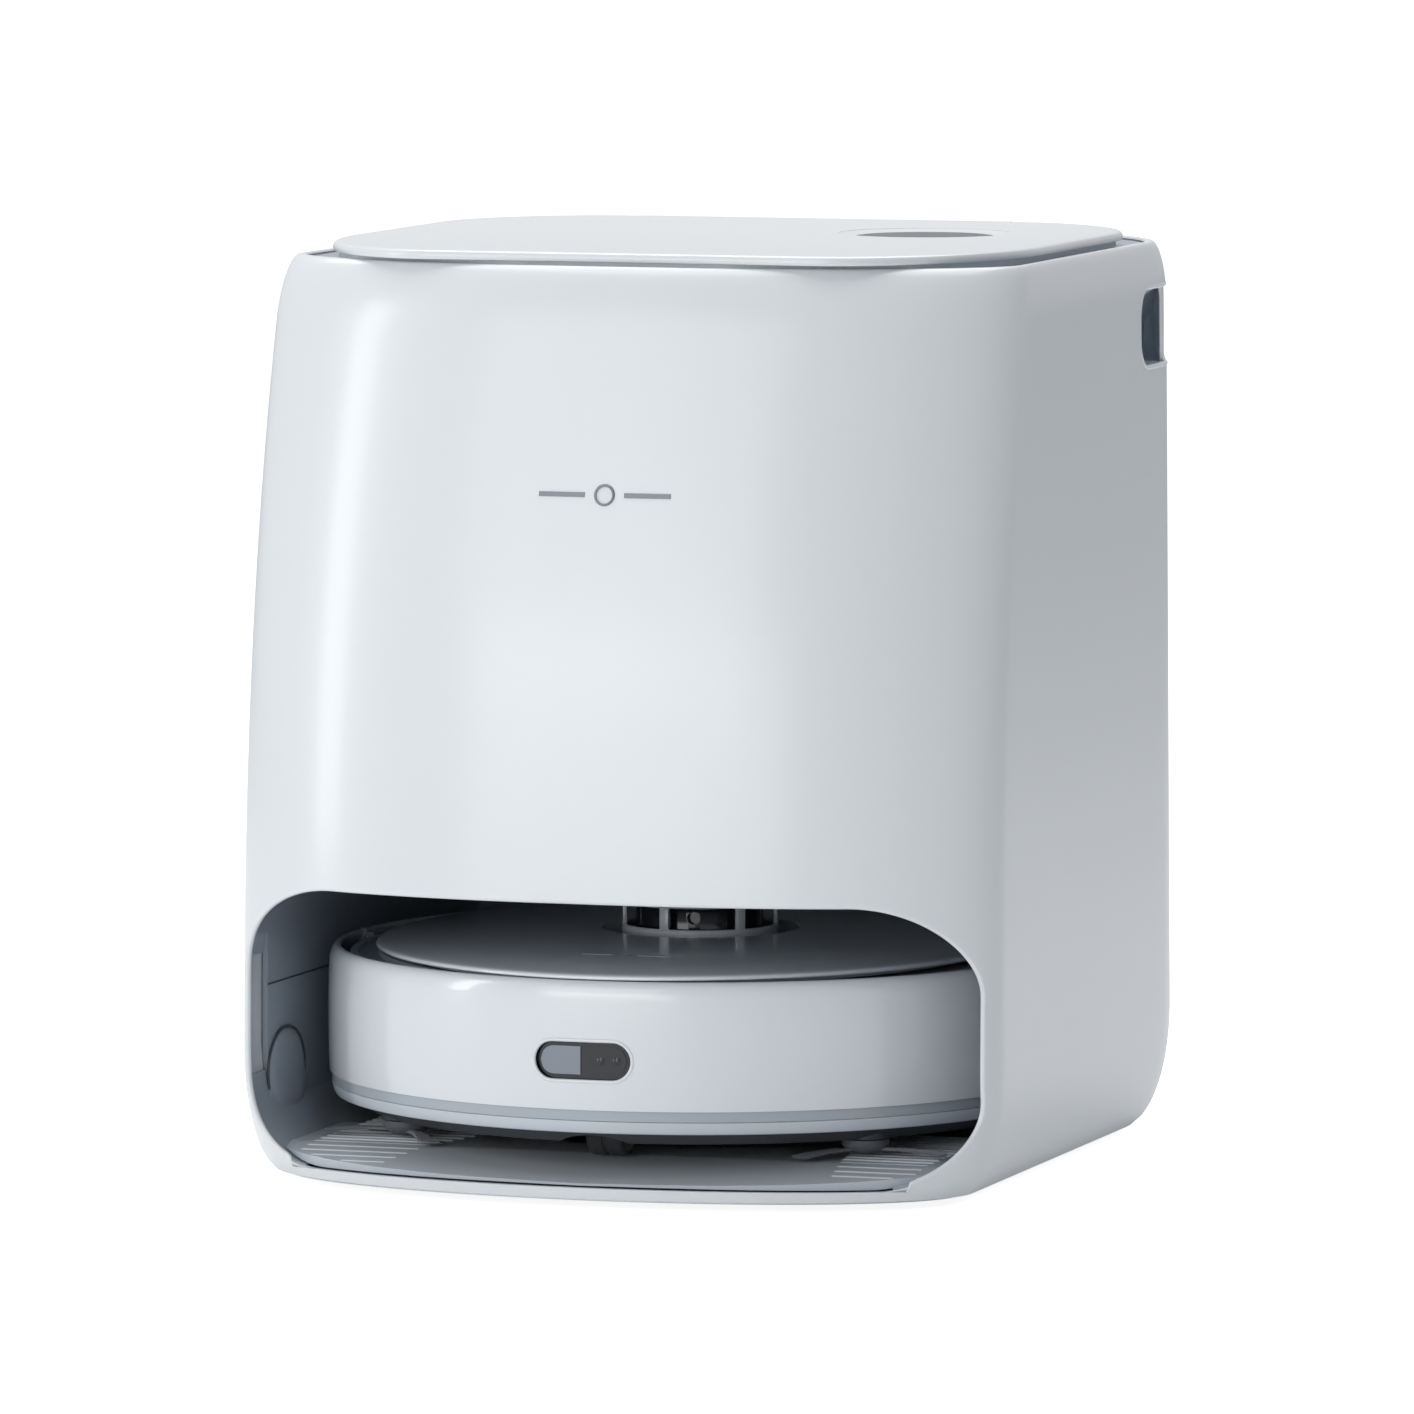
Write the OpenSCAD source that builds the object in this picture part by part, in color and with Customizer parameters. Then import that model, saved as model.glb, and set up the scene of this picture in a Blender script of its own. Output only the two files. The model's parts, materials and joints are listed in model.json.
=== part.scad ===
// Robot vacuum and mop, parked in the washing station that it drives out of.
// The frame's origin is the middle of the station's footprint, on the floor.
// +Z is up and the station's open front faces -Y.

/* [Robot] */
// Diameter of the round robot
robot_d = 350; // [350:1:430]
// Height of the robot over its wheels
robot_tall = 106.5; // [104:0.5:112]
// Gap between the chassis and the surface it drives on
ground_gap = 9; // [8:0.5:11]
// Height of the bumper's lower edge over the chassis
skirt_rise = 6; // [5:0.5:8]
// Height of the turret over the deck
turret_h = 24.8; // [22:0.2:27]
// Thickness of the robot's moulded walls
robot_wall = 3; // [2.4:0.1:4]
// Travel of the sprung front bumper
bumper_travel = 3; // [2:0.5:4]
// Half the width of the lift-off top cover
cover_half_w = 150; // [140:1:155]
// Radius of the laser turret
turret_r = 37; // [34:1:40]
// Radius of the hole in the cover around the turret
turret_well_r = 46; // [44:1:52]
// Height of the turret's clear window band
turret_window_h = 10; // [8:0.5:12]

/* [Wheels and brushes] */
// Radius of each drive wheel
wheel_r = 35; // [29:1:36]
// Width of each drive wheel
wheel_w = 20; // [16:1:24]
// Distance of each drive wheel's middle from the robot's middle line
wheel_x = 112; // [112:1:118]
// Distance of the drive axle in front of the robot's centre
wheel_front = 10; // [8:1:14]
// Radius of the front caster wheel
caster_r = 13; // [10:0.5:14]
// Radius of the main brush with its blades
brush_r = 19; // [16:0.5:20]
// Length of the main brush
brush_len = 140; // [120:1:170]
// Radius of each mop pad
mop_r = 58; // [48:1:60]
// Height that the mops lift over carpet
mop_lift = 10; // [6:1:12]

/* [Station] */
// Height of the station with its lid closed
station_h = 434; // [400:1:530]
// Floor in front of the parked robot
front_margin = 12; // [10:1:40]
// Room behind the parked robot for the power and air parts
back_margin = 53; // [50:1:80]
// How far the front face leans back at the top
front_lean = 53; // [30:1:60]
// Height at which the front face starts to lean
lean_from = 61; // [40:1:90]
// Taper of each side over the whole height
side_taper = 3; // [0:0.5:6]
// Width of the wide, soft front corners
front_round_x = 171; // [120:1:171]
// Depth of the wide, soft front corners
front_round_y = 72; // [60:1:90]
// Radius of the rear corners
back_round = 79; // [50:1:85]
// Thickness of the outer shell
shell_wall = 3; // [2.4:0.1:4]
// Thickness of the parking bay's liner
liner_wall = 2.5; // [2:0.1:3.5]
// Gap between the parked robot and the liner
bay_gap = 4; // [3.5:0.5:8]
// Height of the opening in the front
opening_h = 132; // [130:1:150]
// Height of the sill under the opening
sill_h = 9.4; // [9:0.1:12]
// Height of the rubber feet
foot_h = 4; // [3:0.5:5]

/* [Lid and display] */
// Thickness of the lid at its edge
lid_t = 8; // [7:0.5:10]
// Band of the station's top left showing beside the lid
lid_side_gap = 6; // [4:0.5:12]
// Radius of the round touch display
display_r = 32; // [26:1:36]
// Radius of the shallow dish around the display
dish_r = 41; // [39:1:48]

/* [Wash tray] */
// Depth of the ramp in front of the tray
ramp_run = 57; // [40:1:70]
// Surface that the parked robot stands on
dock_floor = 18; // [17:0.5:20]
// Pitch of the ribs on the wheel tracks
rib_pitch = 9; // [7:0.5:12]

/* [Tanks] */
// Width of each water tank
tank_w = 138; // [110:1:142]
// Depth of each water tank
tank_d = 170; // [140:1:190]
// Height of each water tank
tank_h = 246; // [180:1:250]
// Thickness of the tank walls
tank_wall = 2.5; // [2:0.1:3]

/* [Hand grips] */
// Length of each hand grip, front to back
grip_len = 76; // [60:1:80]
// Height of each hand grip
grip_h = 38; // [32:1:46]
// Depth of each hand grip
grip_depth = 22; // [18:1:28]

/* [Hidden] */
$fn = 96;

// Clearances
slide_gap = 0.5;      // between pieces that slide past each other
seat_gap = 0.2;       // between pieces that sit in each other
touch_gap = 0.3;      // between bodies that rest on each other
run_gap = 0.06;       // radial clearance of a shaft in its bore
over = 1;             // how far a cutting shape runs past a face

// The station's overall size follows the robot that it holds
robot_r = robot_d / 2;
station_w = 2 * (robot_r + bay_gap + liner_wall + slide_gap + shell_wall);
station_d = front_margin + robot_d + back_margin;
robot_y = -station_d / 2 + front_margin + robot_r;
rim_drop = 6;
rim_z = station_h - rim_drop;
low_round_w = 20;
low_round_h = 60;
top_round_w = 6;
top_round_h = 30;
sill_round_x = 47;
sill_round_z = 40;
arch_round_x = 55;
arch_round_z = 44;
opening_side = 5;
opening_hw = station_w / 2 - opening_side;
opening_top = sill_h + opening_h;
bay_top = opening_top + 3.6;
bay_back = robot_y + robot_r + 2.5;
deck_z = bay_top + liner_wall + 2.5;
deck_t = 3;
trim_t = 4;
trim_z = rim_z - 3.5;
liner_inset = shell_wall + slide_gap;
floor_z = foot_h + shell_wall;

// Heights of the robot's layers
wheel_z = dock_floor + touch_gap;
chassis_z = wheel_z + ground_gap - touch_gap;
chassis_t = 4;
skirt_z = chassis_z + skirt_rise;
robot_top = wheel_z + robot_tall;
body_top = robot_top - turret_h;
rim_rise = 3.3;
tub_r = robot_r - 9;
deck_r = tub_r - 1;
cover_half_d = robot_r - 4;
cover_edge_z = body_top + rim_rise + 0.4;
cover_edge_t = 2.3;
cover_rise = 5;

// Places of the drive and cleaning parts, from the robot's centre
wheel_y = -wheel_front;
axle_z = wheel_z + wheel_r;
arm_len = 40;
arm_t = 7;
arm_end_r = 9;
caster_y = -140;
caster_trail = 8;
caster_z = wheel_z + caster_r;
brush_y = -75;
brush_z = wheel_z + touch_gap + brush_r;
brush_end = 3;
chamber_wall = 6;
side_x = 112;
side_y = -98;
side_z = wheel_z + 1;
side_reach = norm([side_x - brush_len / 2, side_y - brush_y + 8]) - 3;
mop_x = mop_r + 6;
mop_y = 82;
pad_t = 6;
mop_room = 3;
plate_t = 3.5;
mop_top = wheel_z + pad_t + plate_t;
pocket_top = mop_top + mop_lift + 1.5;
pocket_t = 3;
pocket_wall = 4;
shelf_z = pocket_top + pocket_t;
gear_z = shelf_z + 0.8;
gear_h = 26;
gear_r = 22;
post_x = 15;

// Lid
lid_hw = station_w / 2 - side_taper - top_round_w - lid_side_gap;
lid_front = -station_d / 2 + front_lean + 8;
lid_back = station_d / 2 - side_taper - 26;
lid_round_x = 80;
lid_round_y = 122;
lid_back_round = 87;
lid_z = station_h - lid_t;
skin_t = 4.5;
hinge_y = lid_back - 2.5;
hinge_z = station_h - 5;
hinge_r = 4.5;
pin_r = 1.5;
hinge_x = 106;
knuckle_w = 14;
ear_w = 4;
display_x = 84;
display_y = 65;
dish_deep = 1.2;

// Tray
tray_z = sill_h + 0.4;
ramp_low = 1.4;
apron_z = dock_floor - 1.5;
track_x = 127;
track_w = 46;
basin_z = tray_z + 2.2;
board_r = mop_r - 4;

// Rear panel
panel_w = 200;
panel_low = 62;
panel_h = 300;
panel_round = 12;
panel_t = 3;
panel_y = station_d / 2 - side_taper - panel_t;
lip_w = 12;
screw_r = 1.5;

// Plan of the station at a height: front corners are elliptical, rear corners round
function lean(z) = z <= lean_from ? 0 : front_lean * pow((z - lean_from) / (station_h - lean_from), 2.4);
function dip(u, w) = w * (1 - sqrt(max(0, 1 - u * u)));
function low_pull(z) = z >= foot_h + low_round_h ? 0 : dip((foot_h + low_round_h - z) / low_round_h,
    low_round_w);
function top_pull(z) = z <= rim_z - top_round_h ? 0 : dip((z - rim_z + top_round_h) / top_round_h,
    top_round_w);
function half_w(z) = station_w / 2 - side_taper * z / station_h - low_pull(z) - top_pull(z);
function front_y(z) = -station_d / 2 + lean(z) + top_pull(z);
function back_y(z) = station_d / 2 - side_taper * z / station_h - low_pull(z) / 2 - top_pull(z);
function half_plan(hw, yf, yb, rx, ry, rb) = concat(
    [for (i = [0:12]) [hw - rx + rx * sin(i * 7.5), yf + ry - ry * cos(i * 7.5)]],
    [for (i = [0:8]) [hw - rb + rb * cos(i * 11.25), yb - rb + rb * sin(i * 11.25)]]);
function whole_plan(half) = concat(half, [for (i = [len(half) - 1:-1:0]) [-half[i][0], half[i][1]]]);
function plan_at(z, t) = whole_plan(half_plan(half_w(z) - t, front_y(z) + t, back_y(z) - t,
    min(front_round_x, half_w(z)) - t - 1, front_round_y - t, back_round - t));

// Heights of a loft's rings, close together where the outline bends
function levels(lo, hi) = concat([lo],
    [for (z = [floor_z, foot_h + 10, foot_h + 20, foot_h + 35, foot_h + 60, 110, 155, 205, 255, 300,
        340, 375, rim_z - 30, rim_z - 18, rim_z - 9, rim_z - 3]) if (z > lo + 1 && z < hi - 1) z], [hi]);

// Solid between two heights that follows the station's outline, a distance inside it
module loft(t, lo, hi, spare = 0) {
    zs = levels(lo, hi);
    n = len(plan_at(lo, t));
    m = len(zs);
    place = [for (i = [0:m - 1]) i == 0 ? zs[i] - spare : i == m - 1 ? zs[i] + spare : zs[i]];
    pts = [for (i = [0:m - 1]) for (p = plan_at(zs[i], t)) [p[0], p[1], place[i]]];
    sides = [for (i = [0:m - 2]) for (j = [0:n - 1]) let (k = (j + 1) % n)
        each [[i * n + j, (i + 1) * n + j, (i + 1) * n + k], [i * n + j, (i + 1) * n + k, i * n + k]]];
    low_cap = [[for (j = [0:n - 1]) j]];
    high_cap = [[for (j = [n - 1:-1:0]) (m - 1) * n + j]];
    polyhedron(points = pts, faces = concat(sides, low_cap, high_cap), convexity = 6);
}

// Flat shapes
module rounded_rect(w, d, r) {
    square([w - 2 * r, d], center = true);
    square([w, d - 2 * r], center = true);
    for (x = [-1, 1], y = [-1, 1])
        translate([x * (w / 2 - r), y * (d / 2 - r)]) circle(r);
}

function arc_points(cx, cy, rx, ry, from, to, steps) =
    [for (i = [0:steps]) let (a = from + (to - from) * i / steps) [cx + rx * cos(a), cy + ry * sin(a)]];

// Opening in the front, seen from the front, a distance inside its edge
module opening_shape(t) {
    hw = opening_hw - t;
    lo = sill_h + t;
    hi = opening_top - t;
    polygon(concat(
        arc_points(hw - sill_round_x, lo + sill_round_z, sill_round_x, sill_round_z, -90, 0, 10),
        arc_points(hw - arch_round_x, hi - arch_round_z, arch_round_x, arch_round_z, 0, 90, 10),
        arc_points(-hw + arch_round_x, hi - arch_round_z, arch_round_x, arch_round_z, 90, 180, 10),
        arc_points(-hw + sill_round_x, lo + sill_round_z, sill_round_x, sill_round_z, 180, 270, 10)));
}

// Straight block along Y with a front-view section, from one depth to another
module along_y(from, to) {
    translate([0, to, 0]) rotate([90, 0, 0]) linear_extrude(to - from) children();
}

// Cylinder along X about its own middle
module along_x(r, len) {
    rotate([0, 90, 0]) cylinder(r = r, h = len, center = true);
}

module at_robot() {
    translate([0, robot_y, 0]) children();
}

module box_at(x0, x1, y0, y1, z0, z1) {
    translate([x0, y0, z0]) cube([x1 - x0, y1 - y0, z1 - z0]);
}

module tube(r_out, r_in, z0, z1) {
    translate([0, 0, z0]) difference() {
        cylinder(r = r_out, h = z1 - z0);
        translate([0, 0, -over]) cylinder(r = r_in, h = z1 - z0 + 2 * over);
    }
}

// ---------- Station ----------

grip_y = 130;
grip_z = rim_z - 39.5;

module grip_shape(t) {
    translate([grip_y, grip_z]) rounded_rect(grip_len - 2 * t, grip_h - 2 * t, 14 - t);
}

module grip_cut(t, depth) {
    for (s = [-1, 1])
        translate([s > 0 ? station_w / 2 - depth : -station_w / 2 - over, 0, 0])
            rotate([90, 0, 90]) linear_extrude(depth + over) grip_shape(t);
}

module outer_shell() color([0.83, 0.86, 0.88]) difference() {
    loft(0, foot_h, rim_z);
    difference() {
        loft(shell_wall, foot_h, rim_z, over);
        along_y(panel_y - panel_t - seat_gap, station_d) panel_shape(-lip_w);
    }
    along_y(-station_d, -station_d / 2 + front_round_y + 10) opening_shape(0);
    grip_cut(0, grip_depth);
    along_y(panel_y - seat_gap, station_d) panel_shape(-seat_gap);
    along_y(0, station_d) panel_shape(lip_w);
    panel_screws(screw_r + run_gap, 0);
}

module panel_shape(t) {
    translate([0, panel_low + panel_h / 2]) rounded_rect(panel_w - 2 * t, panel_h - 2 * t, panel_round);
}

screw_inset = 7;
module panel_screws(r, head_r) {
    for (x = [-1, 1], z = [0, 1])
        translate([x * (panel_w / 2 - screw_inset), 0,
            panel_low + (z == 0 ? screw_inset : panel_h - screw_inset)])
            rotate([-90, 0, 0]) {
                translate([0, 0, panel_y - panel_t - 4]) cylinder(r = r, h = panel_t + 6);
                if (head_r > 0) translate([0, 0, panel_y + 1]) cylinder(r = head_r, h = panel_t - 1);
            }
}

inlet_x = 62;
inlet_z = 92;
inlet_w = 28;
inlet_h = 20;
vent_pitch = 12;
module rear_cover() color([0.72, 0.75, 0.78]) difference() {
    along_y(panel_y, panel_y + panel_t) panel_shape(0);
    panel_screws(screw_r + run_gap, 3.2);
    along_y(panel_y - over, station_d) translate([inlet_x, inlet_z]) square([inlet_w, inlet_h],
        center = true);
    for (i = [0:7])
        along_y(panel_y - over, station_d) translate([-40, 200 + i * vent_pitch]) rounded_rect(70, 5, 2.4);
}

module shell_screws() color([0.5, 0.5, 0.52]) panel_screws(screw_r, 3);

module base_plate() color([0.30, 0.32, 0.35]) loft(shell_wall + seat_gap, foot_h, floor_z - seat_gap);

foot_r = 11;
module rubber_feet() color([0.15, 0.15, 0.16])
    for (p = [[-120, -130], [120, -130], [-110, 140], [110, 140], [0, 0]])
        translate([p[0], p[1], 0]) cylinder(r1 = foot_r - 1, r2 = foot_r, h = foot_h);

module bay_liner() color([0.62, 0.66, 0.71]) difference() {
    loft(liner_inset, floor_z, bay_top + liner_wall);
    intersection() {
        loft(liner_inset + liner_wall, floor_z, bay_top, over);
        box_at(-station_w, station_w, -station_d, bay_back, floor_z + 1.6, bay_top);
    }
    box_at(-station_w, station_w, bay_back + liner_wall, station_d, 0, station_h);
    along_y(-station_d, -station_d / 2 + front_round_y + 10) opening_shape(-1);
    for (x = [-1, 1]) translate([x * contact_x, 0, contact_z]) along_y(bay_back - over, station_d)
        square([contact_w + 1, contact_h + 1], center = true);
}

contact_x = 22;
contact_z = 56;
contact_w = 14;
contact_h = 8;
contact_deep = 8;
module dock_contacts() color([0.75, 0.70, 0.52])
    for (x = [-1, 1])
        translate([x * contact_x, 0, contact_z]) along_y(bay_back - 1.4, bay_back + contact_deep)
            square([contact_w, contact_h], center = true);

module tank_deck() color([0.55, 0.58, 0.62]) difference() {
    loft(shell_wall + seat_gap, deck_z, deck_z + deck_t);
    box_at(-panel_w, panel_w, panel_y - panel_t - 2 * seat_gap, station_d, deck_z - over,
        deck_z + deck_t + over);
    for (x = [-1, 1]) translate([x * 40, 90, deck_z - over]) cylinder(r = 6, h = deck_t + 2 * over);
}

hatch_hw = 147;
hatch_front = -128;
hatch_back = 62;
module top_trim() color([0.45, 0.50, 0.56]) difference() {
    loft(shell_wall + seat_gap, trim_z - trim_t, trim_z);
    translate([0, (hatch_front + hatch_back) / 2, trim_z - trim_t - over])
        linear_extrude(trim_t + 2 * over) rounded_rect(2 * hatch_hw, hatch_back - hatch_front, 30);
}

// Cup behind each hand grip, with a lip that overlaps the shell's inside
module handle_cups() color([0.25, 0.28, 0.32]) intersection() {
    loft(shell_wall + seat_gap, rim_z - 80, rim_z - 10);
    difference() {
        grip_cut(-3, grip_depth + 3);
        grip_cut(0, grip_depth);
    }
}

tank_gap = 3;
tank_y = -32;
tank_z = deck_z + deck_t + touch_gap;
mouth_r = 26;
mouth_y = 48;
module tank(side) translate([side * (tank_w / 2 + tank_gap), tank_y, tank_z]) difference() {
    linear_extrude(tank_h) rounded_rect(tank_w, tank_d, 26);
    translate([0, 0, tank_wall])
        linear_extrude(tank_h - 2 * tank_wall) rounded_rect(tank_w - 2 * tank_wall,
            tank_d - 2 * tank_wall, 26 - tank_wall);
    translate([0, mouth_y, tank_h - tank_wall - over]) cylinder(r = mouth_r, h = tank_wall + 2 * over);
}

module clean_tank() color([0.62, 0.74, 0.84]) tank(1);
module dirty_tank() color([0.45, 0.47, 0.50]) tank(-1);

// Filler cap and flat-folded carry handle on top of each tank
module tank_caps_and_handles() color([0.25, 0.45, 0.70])
    for (s = [-1, 1]) translate([s * (tank_w / 2 + tank_gap), tank_y, tank_z + tank_h]) {
        translate([0, mouth_y, 0]) cylinder(r = mouth_r + 4, h = 5);
        translate([0, mouth_y, -tank_wall]) cylinder(r = mouth_r - seat_gap, h = tank_wall + over);
        translate([0, -22, 0]) difference() {
            linear_extrude(8) rounded_rect(tank_w - 30, 60, 12);
            translate([0, -3, -over]) linear_extrude(8 + 2 * over) rounded_rect(tank_w - 54, 36, 8);
        }
    }

pump_z = deck_z + deck_t;
module water_pump() color([0.18, 0.20, 0.24]) translate([20, 130, pump_z]) {
    cylinder(r = 20, h = 46);
    translate([0, 0, 46]) cylinder(r = 14, h = 12);
    translate([0, -24, 14]) rotate([90, 0, 0]) cylinder(r = 5, h = 12, center = true);
}

module vacuum_pump() color([0.60, 0.62, 0.65]) translate([88, 130, pump_z]) {
    cylinder(r = 26, h = 58);
    translate([0, 0, 58]) cylinder(r = 18, h = 22);
}

fan_r = 44;
fan_h = 40;
fan_x = -84;
fan_y = 128;
module dryer_housing() color([0.35, 0.37, 0.40]) translate([fan_x, fan_y, pump_z]) difference() {
    union() {
        cylinder(r = fan_r, h = fan_h);
        box_at(0, fan_r, -fan_r - 10, -fan_r + 24, 0, fan_h);
    }
    translate([0, 0, 3]) cylinder(r = fan_r - 3, h = fan_h - 6);
    translate([0, 0, fan_h - 3 - over]) cylinder(r = 22, h = 3 + 2 * over);
    box_at(4, fan_r - 4, -fan_r - 10 - over, -fan_r + 24, 4, fan_h - 4);
    translate([0, 0, -over]) cylinder(r = 3 + run_gap, h = 5);
}

module wheel_of_blades(r, h, hub, count) {
    cylinder(r = hub, h = h);
    cylinder(r = r, h = 1.6);
    for (i = [0:count - 1]) rotate(i * 360 / count) translate([hub - 1, -0.8, 0]) cube([r - hub, 1.6, h]);
}

module dryer_impeller() color([0.80, 0.81, 0.83]) translate([fan_x, fan_y, pump_z]) {
    translate([0, 0, 4.5]) wheel_of_blades(fan_r - 6, fan_h - 11, 9, 12);
    translate([0, 0, 0.4]) cylinder(r = 3, h = 5);
}

module control_board() color([0.10, 0.35, 0.22]) {
    box_at(-60, 60, 178, 179.6, 240, 330);
    for (x = [-1, 1], z = [250, 320])
        translate([x * 52, 0, z]) rotate([-90, 0, 0]) translate([0, 0, 179.6]) cylinder(r = 3, h = 6);
    box_at(-20, 10, 172, 178, 270, 300);
}

module power_supply() color([0.25, 0.25, 0.27])
    box_at(-70, 40, bay_back + contact_deep + 1, panel_y - panel_t - 4, floor_z, 78);

module power_inlet() color([0.08, 0.08, 0.09])
    translate([inlet_x, 0, inlet_z]) difference() {
        along_y(panel_y - 22, panel_y + panel_t - 1)
            square([inlet_w - 2 * seat_gap, inlet_h - 2 * seat_gap], center = true);
        along_y(panel_y - 12, station_d) rounded_rect(inlet_w - 7, inlet_h - 7, 3);
    }

// Ears that stand on the trim, in the notches of the lid's rear edge
module hinge_brackets() color([0.55, 0.57, 0.60])
    for (s = [-1, 1], e = [-1, 1])
        translate([s * hinge_x + e * (knuckle_w + ear_w + 2 * touch_gap) / 2, hinge_y, 0]) difference() {
            union() {
                translate([0, 0, hinge_z]) along_x(hinge_r, ear_w);
                box_at(-ear_w / 2, ear_w / 2, -hinge_r, hinge_r, trim_z, hinge_z);
            }
            translate([0, 0, hinge_z]) along_x(pin_r, ear_w + 2 * over);
        }

module hinge_pins() color([0.75, 0.76, 0.78])
    for (s = [-1, 1]) translate([s * hinge_x, hinge_y, hinge_z]) along_x(pin_r, knuckle_w + 2 * ear_w);

// ---------- Lid ----------

module lid_plan(t) {
    polygon(whole_plan(half_plan(lid_hw - t, lid_front + t, lid_back - t, lid_round_x - t,
        lid_round_y - t, lid_back_round - t)));
}

module lid_notches() {
    w = knuckle_w + 2 * ear_w + 4 * touch_gap + 1;
    for (s = [-1, 1])
        translate([s * hinge_x - w / 2, hinge_y - hinge_r - 1, lid_z - over]) cube([w, 30,
            lid_t + 2 * over]);
}

module lid_panel() color([0.80, 0.83, 0.85]) difference() {
    union() {
        translate([0, 0, station_h - skin_t]) linear_extrude(skin_t - 1.2) lid_plan(0);
        translate([0, 0, station_h - skin_t]) linear_extrude(skin_t) lid_plan(2.4);
    }
    translate([display_x, display_y, station_h - dish_deep]) cylinder(r1 = dish_r - 4, r2 = dish_r,
        h = dish_deep + 0.01);
    translate([display_x, display_y, lid_z - over]) cylinder(r = display_r + seat_gap,
        h = lid_t + 2 * over);
    lid_notches();
}

module lid_liner() color([0.70, 0.73, 0.76]) difference() {
    union() {
        difference() {
            translate([0, 0, lid_z + touch_gap]) linear_extrude(lid_t - skin_t - touch_gap) intersection() {
                lid_plan(3);
                polygon(plan_at(rim_z, shell_wall + 1.2));
            }
            lid_notches();
        }
        for (s = [-1, 1]) translate([s * hinge_x, hinge_y, hinge_z]) along_x(hinge_r, knuckle_w);
        for (s = [-1, 1])
            translate([s * hinge_x - knuckle_w / 2, hinge_y - hinge_r - 2, lid_z + touch_gap])
                cube([knuckle_w, hinge_r + 2, lid_t - skin_t - touch_gap]);
    }
    translate([display_x, display_y, lid_z - over]) cylinder(r = display_r + 1, h = lid_t);
    for (s = [-1, 1]) translate([s * hinge_x, hinge_y, hinge_z]) along_x(pin_r + run_gap,
        knuckle_w + 2 * over);
}

module display_lens() color([0.12, 0.13, 0.15])
    translate([display_x, display_y, station_h - dish_deep - 2]) cylinder(r = display_r, h = 1.8);

module display_board() color([0.10, 0.35, 0.22])
    translate([display_x, display_y, station_h - dish_deep - 4.2]) cylinder(r = display_r - 2, h = 1.6);

// ---------- Wash tray ----------

module tray_section() intersection() {
    opening_shape(0.6);
    translate([-station_w, tray_z]) square([2 * station_w, dock_floor - tray_z]);
}

tray_front = -station_d / 2 + shell_wall + slide_gap;
tray_back = bay_back - 1.5;
module tray_outline(t) intersection() {
    translate([0, 0, -over]) linear_extrude(station_h) polygon(plan_at(floor_z + 1,
        liner_inset + liner_wall + slide_gap + t));
    box_at(-station_w, station_w, -station_d, tray_back - t, 0, station_h);
}

// The ramp's slope from the sill up to the dock floor
module ramp_cut(top) {
    rotate([90, 0, 90]) translate([0, 0, -station_w]) linear_extrude(2 * station_w) polygon([
        [tray_front - over, tray_z + ramp_low], [tray_front,
            tray_z + ramp_low], [tray_front + ramp_run, top],
        [tray_back + over, top], [tray_back + over, top + 20], [tray_front - over, top + 20]]);
}

module wash_tray() color([0.52, 0.55, 0.59]) intersection() {
    along_y(-station_d, station_d) tray_section();
    tray_outline(0);
    difference() {
        box_at(-station_w, station_w, -station_d, station_d, tray_z, dock_floor);
        difference() {
            ramp_cut(apron_z);
            track_ribs();
        }
        ramp_cut(dock_floor);
        at_robot() basin_cut();
    }
}

module track_ribs() {
    for (s = [-1, 1], i = [0:18])
        translate([s * track_x - track_w / 2, tray_front + 4 + i * rib_pitch, tray_z]) cube([track_w,
            3.4, 20]);
}

module basin_cut() difference() {
    for (s = [-1, 1]) translate([s * mop_x, mop_y, basin_z]) cylinder(r = mop_r + 4, h = 20);
    for (s = [-1, 1]) translate([s * mop_x, mop_y, 0]) cylinder(r = 5, h = 40);
}

// Ribbed scrubbing plates in the tray's two basins
module washboards() color([0.60, 0.64, 0.68]) at_robot()
    for (s = [-1, 1]) translate([s * mop_x, mop_y, basin_z]) difference() {
        cylinder(r = board_r, h = dock_floor - basin_z);
        translate([0, 0, -over]) cylinder(r = 5 + seat_gap, h = 20);
        for (i = [0:11]) rotate(i * 30) translate([14, -3, 2.2]) cube([board_r - 18, 6, 20]);
    }

// ---------- Robot: chassis and what it holds ----------

module robot_chassis() color([0.16, 0.17, 0.19]) at_robot() difference() {
    union() {
        translate([0, 0, chassis_z]) cylinder(r1 = tub_r - 9, r2 = tub_r, h = skirt_rise);
        translate([0, 0, skirt_z]) cylinder(r = tub_r, h = body_top - 3.5 - skirt_z);
        for (s = [-1, 1]) translate([s * side_x, side_y, chassis_z]) cylinder(r = 12, h = skirt_rise + 4);
    }
    difference() {
        translate([0, 0, chassis_z + chassis_t]) cylinder(r = tub_r - robot_wall, h = 100);
        chassis_walls();
    }
    chassis_cavities();
}

module wheel_space(t) {
    for (s = [-1, 1]) box_at(s * wheel_x - wheel_w / 2 - 3 - t - (s > 0 ? arm_t + 4 : 0),
        s * wheel_x + wheel_w / 2 + 3 + t + (s < 0 ? arm_t + 4 : 0), wheel_y - wheel_r - 5 - t,
        wheel_y + max(wheel_r + 5, arm_len + arm_end_r + 3) + t, 0, axle_z + wheel_r + 6 + t);
}

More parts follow.
